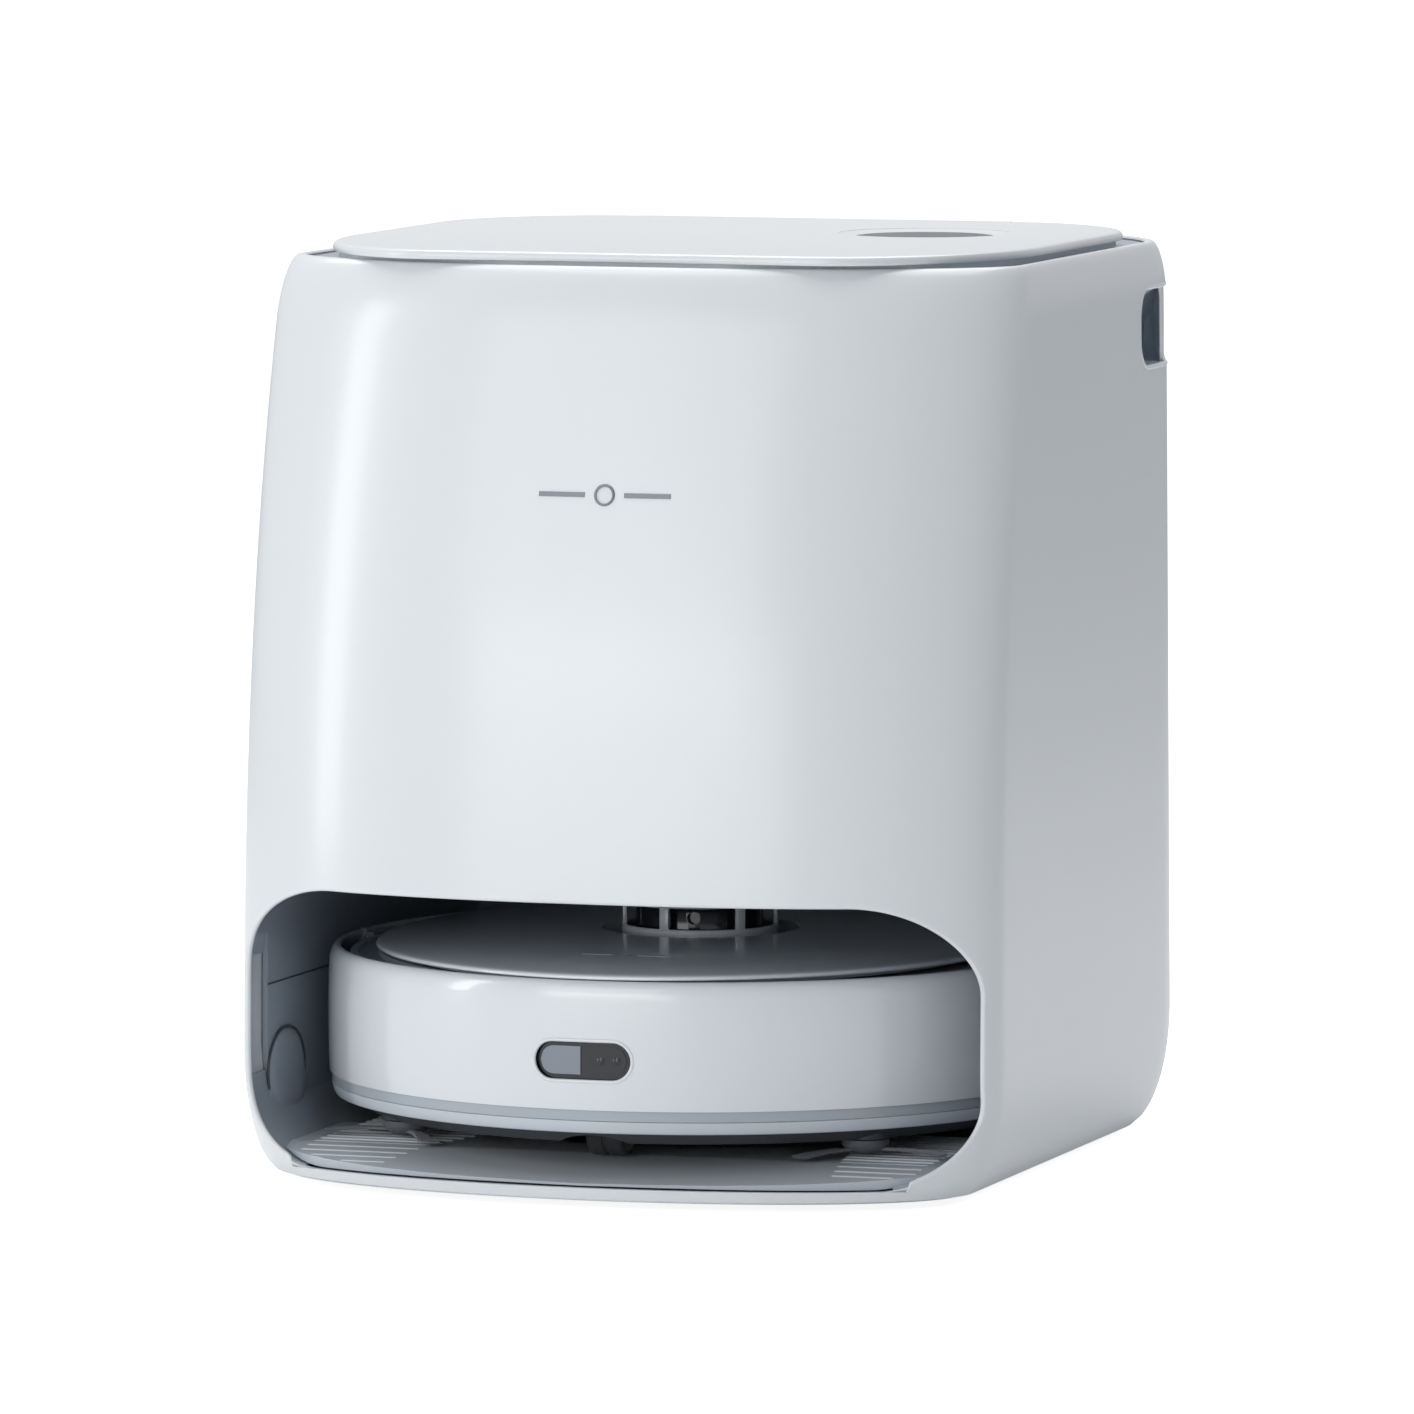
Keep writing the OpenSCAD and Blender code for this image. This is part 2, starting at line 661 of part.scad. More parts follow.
module chassis_walls() {
    wheel_space(2.5);
    for (s = [-1, 1]) translate([s * mop_x, mop_y, 0]) cylinder(r = mop_r + mop_room + pocket_wall,
        h = shelf_z);
    for (s = [-1, 1], e = [-1, 1])
        translate([s * mop_x + e * post_x, mop_y, 0]) cylinder(r = 3, h = gear_z + gear_h + mop_lift);
    box_at(-brush_len / 2 - brush_end - chamber_wall, brush_len / 2 + brush_end + chamber_wall,
        brush_y - brush_r - 6, brush_y + brush_r + 6, 0, brush_z + brush_r + 6);
    translate([0, caster_y, 0]) cylinder(r = 26, h = caster_z + 28);
    for (s = [-1, 1]) translate([s * side_x, side_y, 0]) cylinder(r = 10, h = chassis_z + 26);
    translate([0, suction_y, 0]) cylinder(r = suction_r, h = shelf_z);
    translate([0, (battery_front + battery_back) / 2, 0]) linear_extrude(shelf_z)
        square([battery_w - 10, battery_back - battery_front - 10], center = true);
}

module chassis_cavities() {
    wheel_space(0);
    for (s = [-1, 1]) translate([s * mop_x, mop_y, -over]) {
        cylinder(r = mop_r + mop_room, h = pocket_top + over);
        cylinder(r = 7, h = 90);
    }
    box_at(-brush_len / 2 - brush_end, brush_len / 2 + brush_end, brush_y - brush_r - 3,
        brush_y + brush_r + 3,
        0, brush_z + brush_r + 3);
    translate([0, brush_y, brush_z]) along_x(3 + run_gap, brush_len + 2 * brush_end + 8);
    translate([0, caster_y, 0]) cylinder(r = 23, h = caster_z + 17);
    translate([0, caster_y, 0]) cylinder(r = 4 + run_gap, h = caster_z + 26);
    for (s = [-1, 1]) translate([s * side_x, side_y, 0]) cylinder(r = 2.5 + run_gap, h = chassis_z + 20);
    for (s = [-1, 1])
        translate([s * (wheel_x - wheel_w / 2 - arm_t / 2 - 3), wheel_y + arm_len,
            axle_z]) along_x(3 + run_gap, 28);
    for (x = [-1, 1]) translate([x * contact_x, robot_r - 20, contact_z]) along_y(0, 30)
        square([contact_w, contact_h], center = true);
}

module brush_guard() color([0.20, 0.21, 0.24]) at_robot() translate([0, brush_y,
    chassis_z - 3]) difference() {
    linear_extrude(2.8) rounded_rect(brush_len + 18, 2 * brush_r + 14, 4);
    translate([0, 0, -over]) linear_extrude(6) rounded_rect(brush_len + 4, 2 * brush_r + 4, 2);
}

// Section of the bumper and of the housing's rear wall, from the skirt up to the rim
bumper_end = 5.5;
module side_profile() polygon([[robot_r - 4.4, skirt_z], [robot_r - 2.8, skirt_z], [robot_r - 1.6,
    skirt_z + 2],
    [robot_r - 0.8, skirt_z + 10], [robot_r, skirt_z + 24], [robot_r, skirt_z + 46], [robot_r - 0.6,
        body_top - 8],
    [robot_r - 1.6, body_top - 2], [robot_r - 3, body_top + 1.6], [robot_r - 4.6, body_top + rim_rise],
    [robot_r - 6, body_top + rim_rise], [robot_r - 6, body_top + 1], [robot_r - 4, body_top - 4],
    [robot_r - 4, skirt_z + 2]]);

module upper_housing() color([0.84, 0.86, 0.88]) at_robot() difference() {
    union() {
        tube(deck_r, turret_r - 4, body_top - 3, body_top);
        difference() {
            union() {
                rotate_extrude() side_profile();
                tube(robot_r - 4, tub_r + seat_gap, body_top - 8, body_top - 4);
                tube(robot_r - 5, deck_r - over, body_top - 3, body_top);
                tube(tub_r + 2.4, tub_r + seat_gap, body_top - 8, body_top - 1.5);
            }
            box_at(-robot_r - 9, robot_r + 9, -robot_r - 9, bumper_end, 0, 200);
        }
    }
    for (x = [-1, 1]) translate([x * contact_x, robot_r - 20, contact_z]) along_y(0, 30)
        square([contact_w + 1, contact_h + 1], center = true);
    translate([0, button_y, 0]) cylinder(r = button_r + 0.3, h = 200);
}

button_r = 8;
button_y = -70;
module power_button() color([0.70, 0.72, 0.75]) at_robot() translate([0, button_y, body_top - 6]) {
    cylinder(r = button_r, h = 6.8);
    cylinder(r = button_r + 3, h = 2);
}

battery_w = 68;
battery_h = 36;
battery_front = 92;
battery_back = 150;
battery_top = shelf_z + battery_h;
module battery() color([0.12, 0.13, 0.15]) at_robot()
    box_at(-battery_w / 2, battery_w / 2, battery_front, battery_back, shelf_z, battery_top);

board_rise = 5;
module robot_board() color([0.10, 0.35, 0.22]) at_robot() translate([0, 0, battery_top]) {
    box_at(-38, 38, 94, 142, board_rise, board_rise + 1.6);
    box_at(-14, 12, 104, 128, board_rise + 1.6, board_rise + 4);
    for (x = [-1, 1]) translate([x * 28, 134, 0]) cylinder(r = 3, h = board_rise);
}

module dust_box() color([0.35, 0.37, 0.40]) at_robot() difference() {
    box_at(-70, 70, -46, 6, 40, 92);
    box_at(-67.5, 67.5, -43.5, 3.5, 42.5, 89.5);
    box_at(-60, 60, -50, -40, 48, 60);
}

suction_y = 38;
suction_r = 27;
suction_h = 46;
module suction_housing() color([0.28, 0.30, 0.33]) at_robot() translate([0, suction_y,
    shelf_z]) difference() {
    cylinder(r = suction_r, h = suction_h);
    translate([0, 0, 3]) cylinder(r = suction_r - 3, h = suction_h - 6);
    translate([0, 0, suction_h - 5]) cylinder(r = 12, h = 20);
    translate([0, 0, -over]) cylinder(r = 2 + run_gap, h = 10);
}

module suction_impeller() color([0.85, 0.86, 0.88]) at_robot() translate([0, suction_y, shelf_z]) {
    translate([0, 0, 5]) wheel_of_blades(suction_r - 5, suction_h - 14, 6, 9);
    translate([0, 0, 0.5]) cylinder(r = 2, h = 6);
}

lidar_z = body_top;
// Turret housing: a ring, posts and a cap around the spinning laser head
window_top = robot_top - 2.4;
window_low = window_top - turret_window_h;
module lidar_cage() color([0.80, 0.83, 0.86]) at_robot() {
    tube(turret_r, turret_r - 2.5, lidar_z, window_low);
    tube(turret_r - 2, 5 + run_gap, lidar_z, lidar_z + 4);
    translate([0, 0, window_top]) cylinder(r1 = turret_r, r2 = turret_r - 1.6, h = robot_top - window_top);
    for (a = [20:60:320]) rotate(a) translate([turret_r - 2.6, -2.5, window_low - over])
        cube([2.2, 5, turret_window_h + 2 * over]);
}

module lidar_head() color([0.10, 0.10, 0.12]) at_robot() {
    translate([0, 0, lidar_z + 7]) cylinder(r = turret_r - 7, h = window_top - lidar_z - 7.6);
    translate([0, 0, lidar_z + 0.6]) cylinder(r = 5, h = 8);
}

module charge_contacts() color([0.75, 0.70, 0.52]) at_robot()
    for (x = [-1, 1]) translate([x * contact_x, 0, contact_z]) along_y(tub_r - robot_wall - 2, robot_r - 1)
        square([contact_w - 1, contact_h - 1], center = true);

module mop_drives() color([0.22, 0.24, 0.27]) at_robot()
    for (s = [-1, 1]) translate([s * mop_x, mop_y, gear_z]) difference() {
        cylinder(r = gear_r, h = gear_h);
        translate([0, 0, -over]) cylinder(r = 4 + run_gap, h = gear_h - 4);
        for (e = [-1, 1]) translate([e * post_x, 0, -over]) cylinder(r = 3 + run_gap,
            h = gear_h + 2 * over);
    }

// ---------- Robot: bumper and camera ----------

window_w = 46;
window_h = 17.4;
window_z = 66.7;
module pill(w, h) {
    square([w - h, h], center = true);
    for (x = [-1, 1]) translate([x * (w - h) / 2, 0]) circle(h / 2);
}

module bumper_shell() color([0.85, 0.87, 0.89]) at_robot() difference() {
    rotate_extrude() side_profile();
    box_at(-robot_r - 9, robot_r + 9, bumper_end - bumper_travel - 1.4, robot_r + 9, 0, 200);
    translate([0, 0, window_z]) along_y(-robot_r - 9, 0) pill(window_w + 2 * seat_gap,
        window_h + 2 * seat_gap);
}

module window_block(w, h, r_in, r_out) at_robot() intersection() {
    translate([0, 0, window_z]) along_y(-robot_r - 9, 0) pill(w, h);
    tube(r_out, r_in, 0, 200);
}

module camera_bezel() color([0.06, 0.06, 0.07]) difference() {
    window_block(window_w, window_h, robot_r - 4.4, robot_r + 0.2);
    at_robot() translate([0, 0, window_z]) along_y(-robot_r - 9, 0) pill(window_w - 5, window_h - 5);
}

module camera_window() color([0.10, 0.11, 0.14])
    window_block(window_w - 5 - 2 * seat_gap, window_h - 5 - 2 * seat_gap, robot_r - 4.2, robot_r - 0.6);

// ---------- Robot: top cover ----------

// Lift-off cover: as long as the deck and narrower, with a rim that overhangs the bumper's top
function dome(r) = cover_edge_z + cover_edge_t + cover_rise * (1 - pow(r / cover_half_d, 2));

module cover_plan(t) {
    polygon(arc_points(0, 0, cover_half_w - t, cover_half_d - t, 0, 355, 71));
}

module top_cover() color([0.83, 0.85, 0.87]) at_robot() difference() {
    union() {
        intersection() {
            rotate_extrude() polygon(concat([[20, cover_edge_z]],
                [for (i = [0:9]) let (r = 20 + i * (cover_half_d - 20) / 9) [r, dome(r)]],
                [[cover_half_d, cover_edge_z]]));
            linear_extrude(300) cover_plan(0);
        }
        translate([0, 0, body_top + touch_gap]) linear_extrude(cover_edge_z - body_top) difference() {
            cover_plan(11);
            cover_plan(14);
        }
        translate([0, 0, body_top + touch_gap]) cylinder(r = turret_well_r + 2.5, h = 6);
    }
    cylinder(r = turret_well_r, h = 300);
}

// ---------- Robot: wheels, brushes and mops ----------

caster_stem_r = 4;
module caster_fork() color([0.18, 0.19, 0.21]) at_robot() translate([0, caster_y, 0]) difference() {
    union() {
        translate([0, 0, caster_z + 13.4]) cylinder(r = 12, h = 3);
        translate([0, 0, caster_z + 15]) cylinder(r = caster_stem_r, h = 9);
        for (s = [-1, 1]) box_at(s > 0 ? 8 : -10.5, s > 0 ? 10.5 : -8, -2, 11.5, caster_z - 3,
            caster_z + 14);
    }
    translate([0, caster_trail, caster_z]) along_x(1.5 + run_gap, 40);
}

module caster_wheel() color([0.12, 0.12, 0.13]) at_robot() translate([0, caster_y + caster_trail,
    caster_z]) {
    along_x(caster_r, 13);
    along_x(1.5, 21);
}

module wheel_arm(s) color([0.25, 0.27, 0.30]) at_robot()
    translate([s * (wheel_x - wheel_w / 2 - arm_t / 2 - 3), 0, axle_z]) difference() {
        union() {
            translate([0, wheel_y + arm_len, 0]) along_x(arm_end_r, arm_t);
            translate([0, wheel_y, 0]) along_x(13, arm_t);
            box_at(-arm_t / 2, arm_t / 2, wheel_y, wheel_y + arm_len, -8, 8);
            translate([0, wheel_y + arm_len, 0]) along_x(3, arm_t + 10);
        }
        translate([0, wheel_y, 0]) along_x(2.5 + run_gap, arm_t + 2 * over);
    }

module left_wheel_arm() wheel_arm(-1);
module right_wheel_arm() wheel_arm(1);

tread_t = 4;
module tyre(s) color([0.10, 0.10, 0.11]) at_robot() translate([s * wheel_x, wheel_y, axle_z]) difference() {
    along_x(wheel_r, wheel_w);
    along_x(wheel_r - tread_t, wheel_w + 2 * over);
    for (i = [0:23]) rotate([i * 15, 0, 0]) translate([0, 0, wheel_r]) cube([wheel_w - 5, 2.4, 3],
        center = true);
}

module hub(s) color([0.55, 0.57, 0.60]) at_robot() translate([s * wheel_x, wheel_y, axle_z]) {
    difference() {
        along_x(wheel_r - tread_t, wheel_w - 1);
        translate([s * (wheel_w - 4), 0, 0]) along_x(wheel_r - tread_t - 4, wheel_w);
    }
    translate([-s * (wheel_w / 2 + 5), 0, 0]) along_x(2.5, 11);
}

module left_tyre() tyre(-1);
module right_tyre() tyre(1);
module left_hub() hub(-1);
module right_hub() hub(1);

blade_n = 6;
module main_brush() color([0.35, 0.36, 0.38]) at_robot() translate([0, brush_y, brush_z]) {
    along_x(8, brush_len);
    along_x(3, brush_len + 2 * brush_end + 6);
    for (i = [0:blade_n - 1]) rotate([i * 360 / blade_n, 0, 0])
        translate([-brush_len / 2 + 2, -1, 6]) cube([brush_len - 4, 2, brush_r - 6.2]);
}

arm_n = 3;
module side_brush(s) color([0.30, 0.31, 0.33]) at_robot() translate([s * side_x, side_y, side_z]) {
    cylinder(r = 11, h = chassis_z - side_z - touch_gap);
    cylinder(r = 2.5, h = chassis_z - side_z + 12);
    for (i = [0:arm_n - 1]) rotate(90 + s * 25 + i * 360 / arm_n) translate([6, -2.5,
        0]) cube([side_reach - 6, 5, 2]);
}

module left_side_brush() side_brush(-1);
module right_side_brush() side_brush(1);

module mop_pad(s) color([0.70, 0.76, 0.82]) at_robot()
    translate([s * mop_x, mop_y, wheel_z]) cylinder(r = mop_r, h = pad_t);

module mop_plate(s) color([0.45, 0.47, 0.50]) at_robot() translate([s * mop_x, mop_y, wheel_z + pad_t]) {
    cylinder(r = mop_r - 3, h = plate_t);
    cylinder(r = 4, h = gear_z + gear_h - 8 - wheel_z - pad_t);
}

module left_mop_pad() mop_pad(-1);
module right_mop_pad() mop_pad(1);
module left_mop_plate() mop_plate(-1);
module right_mop_plate() mop_plate(1);

outer_shell();
rear_cover();
shell_screws();
base_plate();
rubber_feet();
bay_liner();
dock_contacts();
tank_deck();
top_trim();
handle_cups();
clean_tank();
dirty_tank();
tank_caps_and_handles();
water_pump();
vacuum_pump();
dryer_housing();
dryer_impeller();
control_board();
power_supply();
power_inlet();
hinge_brackets();
hinge_pins();
lid_panel();
lid_liner();
display_lens();
display_board();
wash_tray();
washboards();
robot_chassis();
brush_guard();
upper_housing();
power_button();
battery();
robot_board();
dust_box();
suction_housing();
suction_impeller();
lidar_cage();
lidar_head();
charge_contacts();
mop_drives();
bumper_shell();
camera_bezel();
camera_window();
top_cover();
caster_fork();
caster_wheel();
left_wheel_arm();
right_wheel_arm();
left_tyre();
right_tyre();
left_hub();
right_hub();
main_brush();
left_side_brush();
right_side_brush();
left_mop_pad();
right_mop_pad();
left_mop_plate();
right_mop_plate();
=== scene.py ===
"""Robot vacuum and mop in its washing station: the finished look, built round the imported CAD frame."""
import json
import math
import bpy
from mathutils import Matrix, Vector


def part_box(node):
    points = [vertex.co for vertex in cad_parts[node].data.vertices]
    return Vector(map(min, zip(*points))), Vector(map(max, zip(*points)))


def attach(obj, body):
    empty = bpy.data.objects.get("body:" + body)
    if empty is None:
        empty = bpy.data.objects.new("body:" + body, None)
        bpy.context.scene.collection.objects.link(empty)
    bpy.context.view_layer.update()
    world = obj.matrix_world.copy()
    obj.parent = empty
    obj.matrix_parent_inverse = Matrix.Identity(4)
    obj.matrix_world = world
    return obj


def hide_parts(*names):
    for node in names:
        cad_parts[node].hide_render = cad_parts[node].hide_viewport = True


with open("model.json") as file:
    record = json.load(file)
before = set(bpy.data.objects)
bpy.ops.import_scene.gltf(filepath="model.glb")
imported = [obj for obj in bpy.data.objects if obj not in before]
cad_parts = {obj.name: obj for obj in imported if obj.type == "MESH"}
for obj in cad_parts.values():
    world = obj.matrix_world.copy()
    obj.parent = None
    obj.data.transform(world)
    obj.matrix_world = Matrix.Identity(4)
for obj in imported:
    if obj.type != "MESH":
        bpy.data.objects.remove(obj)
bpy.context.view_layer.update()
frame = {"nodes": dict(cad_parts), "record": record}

mm = 0.001
pi = math.pi

# ---------- Places and sizes, worked out from the frame ----------
shell_lo, shell_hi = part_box("outer_shell")
lid_lo, lid_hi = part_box("lid_panel")
trim_lo, trim_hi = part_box("top_trim")
tray_lo, tray_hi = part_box("wash_tray")
liner_lo, liner_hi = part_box("bay_liner")
bumper_lo, bumper_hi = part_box("bumper_shell")
cover_lo, cover_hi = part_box("top_cover")
cage_lo, cage_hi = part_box("lidar_cage")
window_lo, window_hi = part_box("camera_window")
lens_lo, lens_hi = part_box("display_lens")
panel_lo, panel_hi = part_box("rear_cover")

tall = lid_hi.z
rim_z = shell_hi.z
foot_h = shell_lo.z
side_taper = 3 * mm
front_lean = 53 * mm
lean_from = 61 * mm
low_round_w, low_round_h = 20 * mm, 60 * mm
top_round_w, top_round_h = 6 * mm, 30 * mm
half_wide = shell_hi.x + side_taper * (foot_h + low_round_h) / tall
half_deep = -shell_lo.y
front_round_x, front_round_y = 171 * mm, 72 * mm
back_round = 79 * mm
shell_wall = 3 * mm
liner_inset = 3.5 * mm
liner_wall = 2.5 * mm

robot_r = (bumper_hi.x - bumper_lo.x) / 2
robot_y = bumper_lo.y + robot_r
band_top = bumper_hi.z
deck_z = cage_lo.z

# ---------- Modelling helpers ----------


def deselect():
    if bpy.context.mode != "OBJECT":
        bpy.ops.object.mode_set(mode="OBJECT")
    bpy.ops.object.select_all(action="DESELECT")


def only(piece):
    deselect()
    piece.select_set(True)
    bpy.context.view_layer.objects.active = piece


def edit(piece, kind="FACE"):
    only(piece)
    bpy.ops.object.mode_set(mode="EDIT")
    bpy.ops.mesh.select_mode(type=kind)


def done():
    bpy.ops.object.mode_set(mode="OBJECT")
    return bpy.context.object


def tidy_mesh(piece, merge=1e-6):
    edit(piece)
    bpy.ops.mesh.select_all(action="SELECT")
    bpy.ops.mesh.remove_doubles(threshold=merge)
    bpy.ops.mesh.normals_make_consistent(inside=False)
    return done()


def named(name):
    piece = bpy.context.object
    piece.name = name
    piece.data.name = name
    return piece


def settle(piece):
    """Puts the object's place, turn and scale into its mesh."""
    only(piece)
    bpy.ops.object.transform_apply(location=True, rotation=True, scale=True)
    return piece


def apply(piece, kind, **values):
    only(piece)
    modifier = piece.modifiers.new(kind.lower(), kind)
    for key, value in values.items():
        setattr(modifier, key, value)
    bpy.ops.object.modifier_apply(modifier=modifier.name)
    return piece


def soften(piece, width, segments=2, angle=30):
    return apply(piece, "BEVEL", width=width, segments=segments, limit_method="ANGLE",
                 angle_limit=math.radians(angle), harden_normals=False)


def smooth(piece, angle=35):
    only(piece)
    bpy.ops.object.shade_smooth_by_angle(angle=math.radians(angle))
    return piece


def cut(piece, cutter, operation="DIFFERENCE", keep=False):
    apply(piece, "BOOLEAN", object=cutter, operation=operation, solver="EXACT")
    if not keep:
        bpy.data.objects.remove(cutter, do_unlink=True)
    return piece


def join(name, *parts):
    deselect()
    for part in parts:
        part.select_set(True)
    bpy.context.view_layer.objects.active = parts[0]
    if len(parts) > 1:
        bpy.ops.object.join()
    return named(name)


def lattice(name, rows):
    """A sheet of quads through rows of points; borders that touch are merged."""
    deselect()
    bpy.ops.mesh.primitive_grid_add(x_subdivisions=len(rows[0]) - 1, y_subdivisions=len(rows) - 1, size=1)
    piece = named(name)
    piece.data.vertices.foreach_set("co", [value for row in rows for point in row for value in point])
    return tidy_mesh(piece)


def turned(name, profile, centre=(0, 0), steps=96, angle=360, start=0):
    """Spins a profile of (radius, height) points round a vertical axis."""
    deselect()
    bpy.ops.mesh.primitive_plane_add(size=mm)
    piece = named(name)
    edit(piece, "VERT")
    bpy.ops.mesh.select_all(action="SELECT")
    bpy.ops.mesh.merge(type="CENTER")
    done()
    turn = math.radians(start)
    toward = Vector((math.cos(turn), math.sin(turn), 0))
    middle = Vector((centre[0], centre[1], 0))
    points = [middle + toward * r + Vector((0, 0, z)) for r, z in profile]
    piece.data.vertices[0].co = points[0]
    edit(piece, "VERT")
    bpy.ops.mesh.select_all(action="SELECT")
    for here, there in zip(points, points[1:]):
        bpy.ops.mesh.extrude_region_move(TRANSFORM_OT_translate={"value": there - here})
    bpy.ops.mesh.select_all(action="SELECT")
    bpy.ops.mesh.spin(steps=steps, angle=math.radians(angle), center=middle, axis=(0, 0, 1))
    done()
    return tidy_mesh(piece)


def plate(name, outline, low, high, axis="z"):
    """A flat outline extruded along an axis; the outline is (x, y), (x, z) or (y, z) points."""
    lift = {"z": lambda p, d: (p[0], p[1], d), "y": lambda p, d: (p[0], d, p[1]),
            "x": lambda p, d: (d, p[0], p[1])}[axis]
    deselect()
    bpy.ops.mesh.primitive_circle_add(vertices=len(outline), fill_type="NGON")
    piece = named(name)
    for vertex, point in zip(piece.data.vertices, outline):
        vertex.co = lift(point, low)
    edit(piece)
    bpy.ops.mesh.select_all(action="SELECT")
    bpy.ops.mesh.extrude_region_move(TRANSFORM_OT_translate={"value": Vector(lift((0, 0), high - low))})
    done()
    return tidy_mesh(piece)


def block(name, low, high, round_by=0.0, segments=3):
    low, high = Vector(low), Vector(high)
    deselect()
    bpy.ops.mesh.primitive_cube_add(size=1, location=(low + high) / 2)
    piece = named(name)
    piece.scale = high - low
    settle(piece)
    if round_by:
        edit(piece, "EDGE")
        bpy.ops.mesh.select_all(action="SELECT")
        bpy.ops.mesh.bevel(offset=round_by, segments=segments, affect="EDGES")
        done()
    return piece


def rod(name, middle, radius, length, axis="x", steps=48, round_by=0.0):
    deselect()
    turn = {"x": (0, pi / 2, 0), "y": (pi / 2, 0, 0), "z": (0, 0, 0)}[axis]
    bpy.ops.mesh.primitive_cylinder_add(vertices=steps, radius=radius, depth=length, location=middle,
        rotation=turn)
    piece = settle(named(name))
    return soften(piece, round_by, 3) if round_by else piece


def arc(cx, cy, rx, ry, start, end, steps):
    turns = [math.radians(start + (end - start) * i / steps) for i in range(steps + 1)]
    return [(cx + rx * math.cos(a), cy + ry * math.sin(a)) for a in turns]


def rounded_rect(cx, cy, w, h, r, steps=10):
    x, y = w / 2 - r, h / 2 - r
    corners = [(x, y, 0), (-x, y, 90), (-x, -y, 180), (x, -y, 270)]
    return [p for dx, dy, a in corners for p in arc(cx + dx, cy + dy, r, r, a, a + 90, steps)]


def bead(name, path, radius, closed=True, sides=12, flat=1.0):
    """A round cord-shaped rim along a path of points."""
    path = [Vector(p) for p in path]
    count = len(path)
    rings = []
    across = None
    for i, p in enumerate(path):
        back = path[i - 1] if (i or closed) else p
        ahead = path[(i + 1) % count] if (i < count - 1 or closed) else p
        along = (ahead - back).normalized()
        across = along.orthogonal() if across is None else across
        across = (across - along * across.dot(along)).normalized()
        third = along.cross(across)
        rings.append([p + radius * (math.cos(a) * across + flat * math.sin(a) * third)
                      for a in [2 * pi * k / sides for k in range(sides + 1)]])
    if closed:
        rings.append(list(rings[0]))
    return lattice(name, rings)


def placed(piece, body, slot, finish=None, stands_for=()):
    """Gives a piece its finish, material slot and body, and hides the CAD nodes that it stands for."""
    piece.data.materials.clear()
    piece.data.materials.append(finish or finishes[slot])
    if stands_for:
        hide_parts(*stands_for)
    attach(piece, body)
    return piece


# ---------- Outline of the station ----------


def dip(u, w):
    return w * (1 - math.sqrt(max(0.0, 1 - u * u)))


def lean(z):
    return 0 if z <= lean_from else front_lean * ((z - lean_from) / (tall - lean_from)) ** 2.4


def low_pull(z):
    return 0 if z >= foot_h + low_round_h else dip((foot_h + low_round_h - z) / low_round_h, low_round_w)


def top_pull(z):
    return 0 if z <= rim_z - top_round_h else dip((z - rim_z + top_round_h) / top_round_h, top_round_w)


def half_w(z):
    return half_wide - side_taper * z / tall - low_pull(z) - top_pull(z)


def front_y(z):
    return -half_deep + lean(z) + top_pull(z)


def back_y(z):
    return half_deep - side_taper * z / tall - low_pull(z) / 2 - top_pull(z)


def corner_x(z, t):
    return min(front_round_x, half_w(z)) - t - 1 * mm


def ring(z, t, height=None):
    """Points of the station's outline at a height, a distance inside it, as a closed loop."""
    hw, yf, yb = half_w(z) - t, front_y(z) + t, back_y(z) - t
    rx, ry, rb = corner_x(z, t), front_round_y - t, back_round - t
    half = [(hw - rx) * i / 3 * 1.0 for i in range(3)]
    side = [(x, yf) for x in half]
    side += [(hw - rx + rx * math.sin(a),
        yf + ry - ry * math.cos(a)) for a in [pi / 2 * i / 36 for i in range(36)]]
    side += [(hw, yf + ry + (yb - rb - yf - ry) * i / 30) for i in range(30)]
    side += [(hw - rb + rb * math.cos(a),
        yb - rb + rb * math.sin(a)) for a in [pi / 2 * i / 20 for i in range(20)]]
    side += [((hw - rb) * (1 - i / 12), yb) for i in range(13)]
    whole = side + [(-x, y) for x, y in reversed(side[1:-1])]
    level = z if height is None else height
    points = [Vector((x, y, level)) for x, y in whole]
    return points + [points[0].copy()]


def face_y(x, z, t=0.0):
    """Depth of the front face where it faces forwards, at a place across it."""
    hw, yf = half_w(z) - t, front_y(z) + t
    rx, ry = corner_x(z, t), front_round_y - t
    u = min(1.0, max(0.0, (abs(x) - (hw - rx)) / rx))
    return yf + dip(u, ry)


def wall_x(y, z, t):
    """How far out the side wall is at a depth."""
    hw, yf, yb = half_w(z) - t, front_y(z) + t, back_y(z) - t
    rx, ry, rb = corner_x(z, t), front_round_y - t, back_round - t
    if y < yf + ry:
        return hw - rx + rx * math.sqrt(max(0.0, 1 - ((yf + ry - y) / ry) ** 2))
    if y > yb - rb:
        return hw - rb + math.sqrt(max(0.0, rb ** 2 - (y - yb + rb) ** 2))
    return hw


# Opening in the front
opening_hw = half_wide - 5 * mm
sill_h = 9.4 * mm
opening_top = 141.4 * mm
sill_round = (47 * mm, 40 * mm)
arch_round = (55 * mm, 44 * mm)


def opening_outline(t, steps=24):
    hw, lo, hi = opening_hw - t, sill_h + t, opening_top - t
    (sx, sz), (ax, az) = sill_round, arch_round
    return (arc(hw - sx, lo + sz, sx, sz, -90, 0, steps) + arc(hw - ax, hi - az, ax, az, 0, 90, steps)
            + arc(-hw + ax, hi - az, ax, az, 90, 180, steps) + arc(-hw + sx, lo + sz, sx, sz, 180, 270,
                steps))


def spread(outline, gap):
    """Fills the long straight stretches of a closed outline with points."""
    out = []
    for here, there in zip(outline, outline[1:] + outline[:1]):
        n = max(1, math.ceil(math.dist(here, there) / gap))
        out += [tuple(a + (b - a) * i / n for a, b in zip(here, there)) for i in range(n)]
    return out


# ---------- Finishes ----------


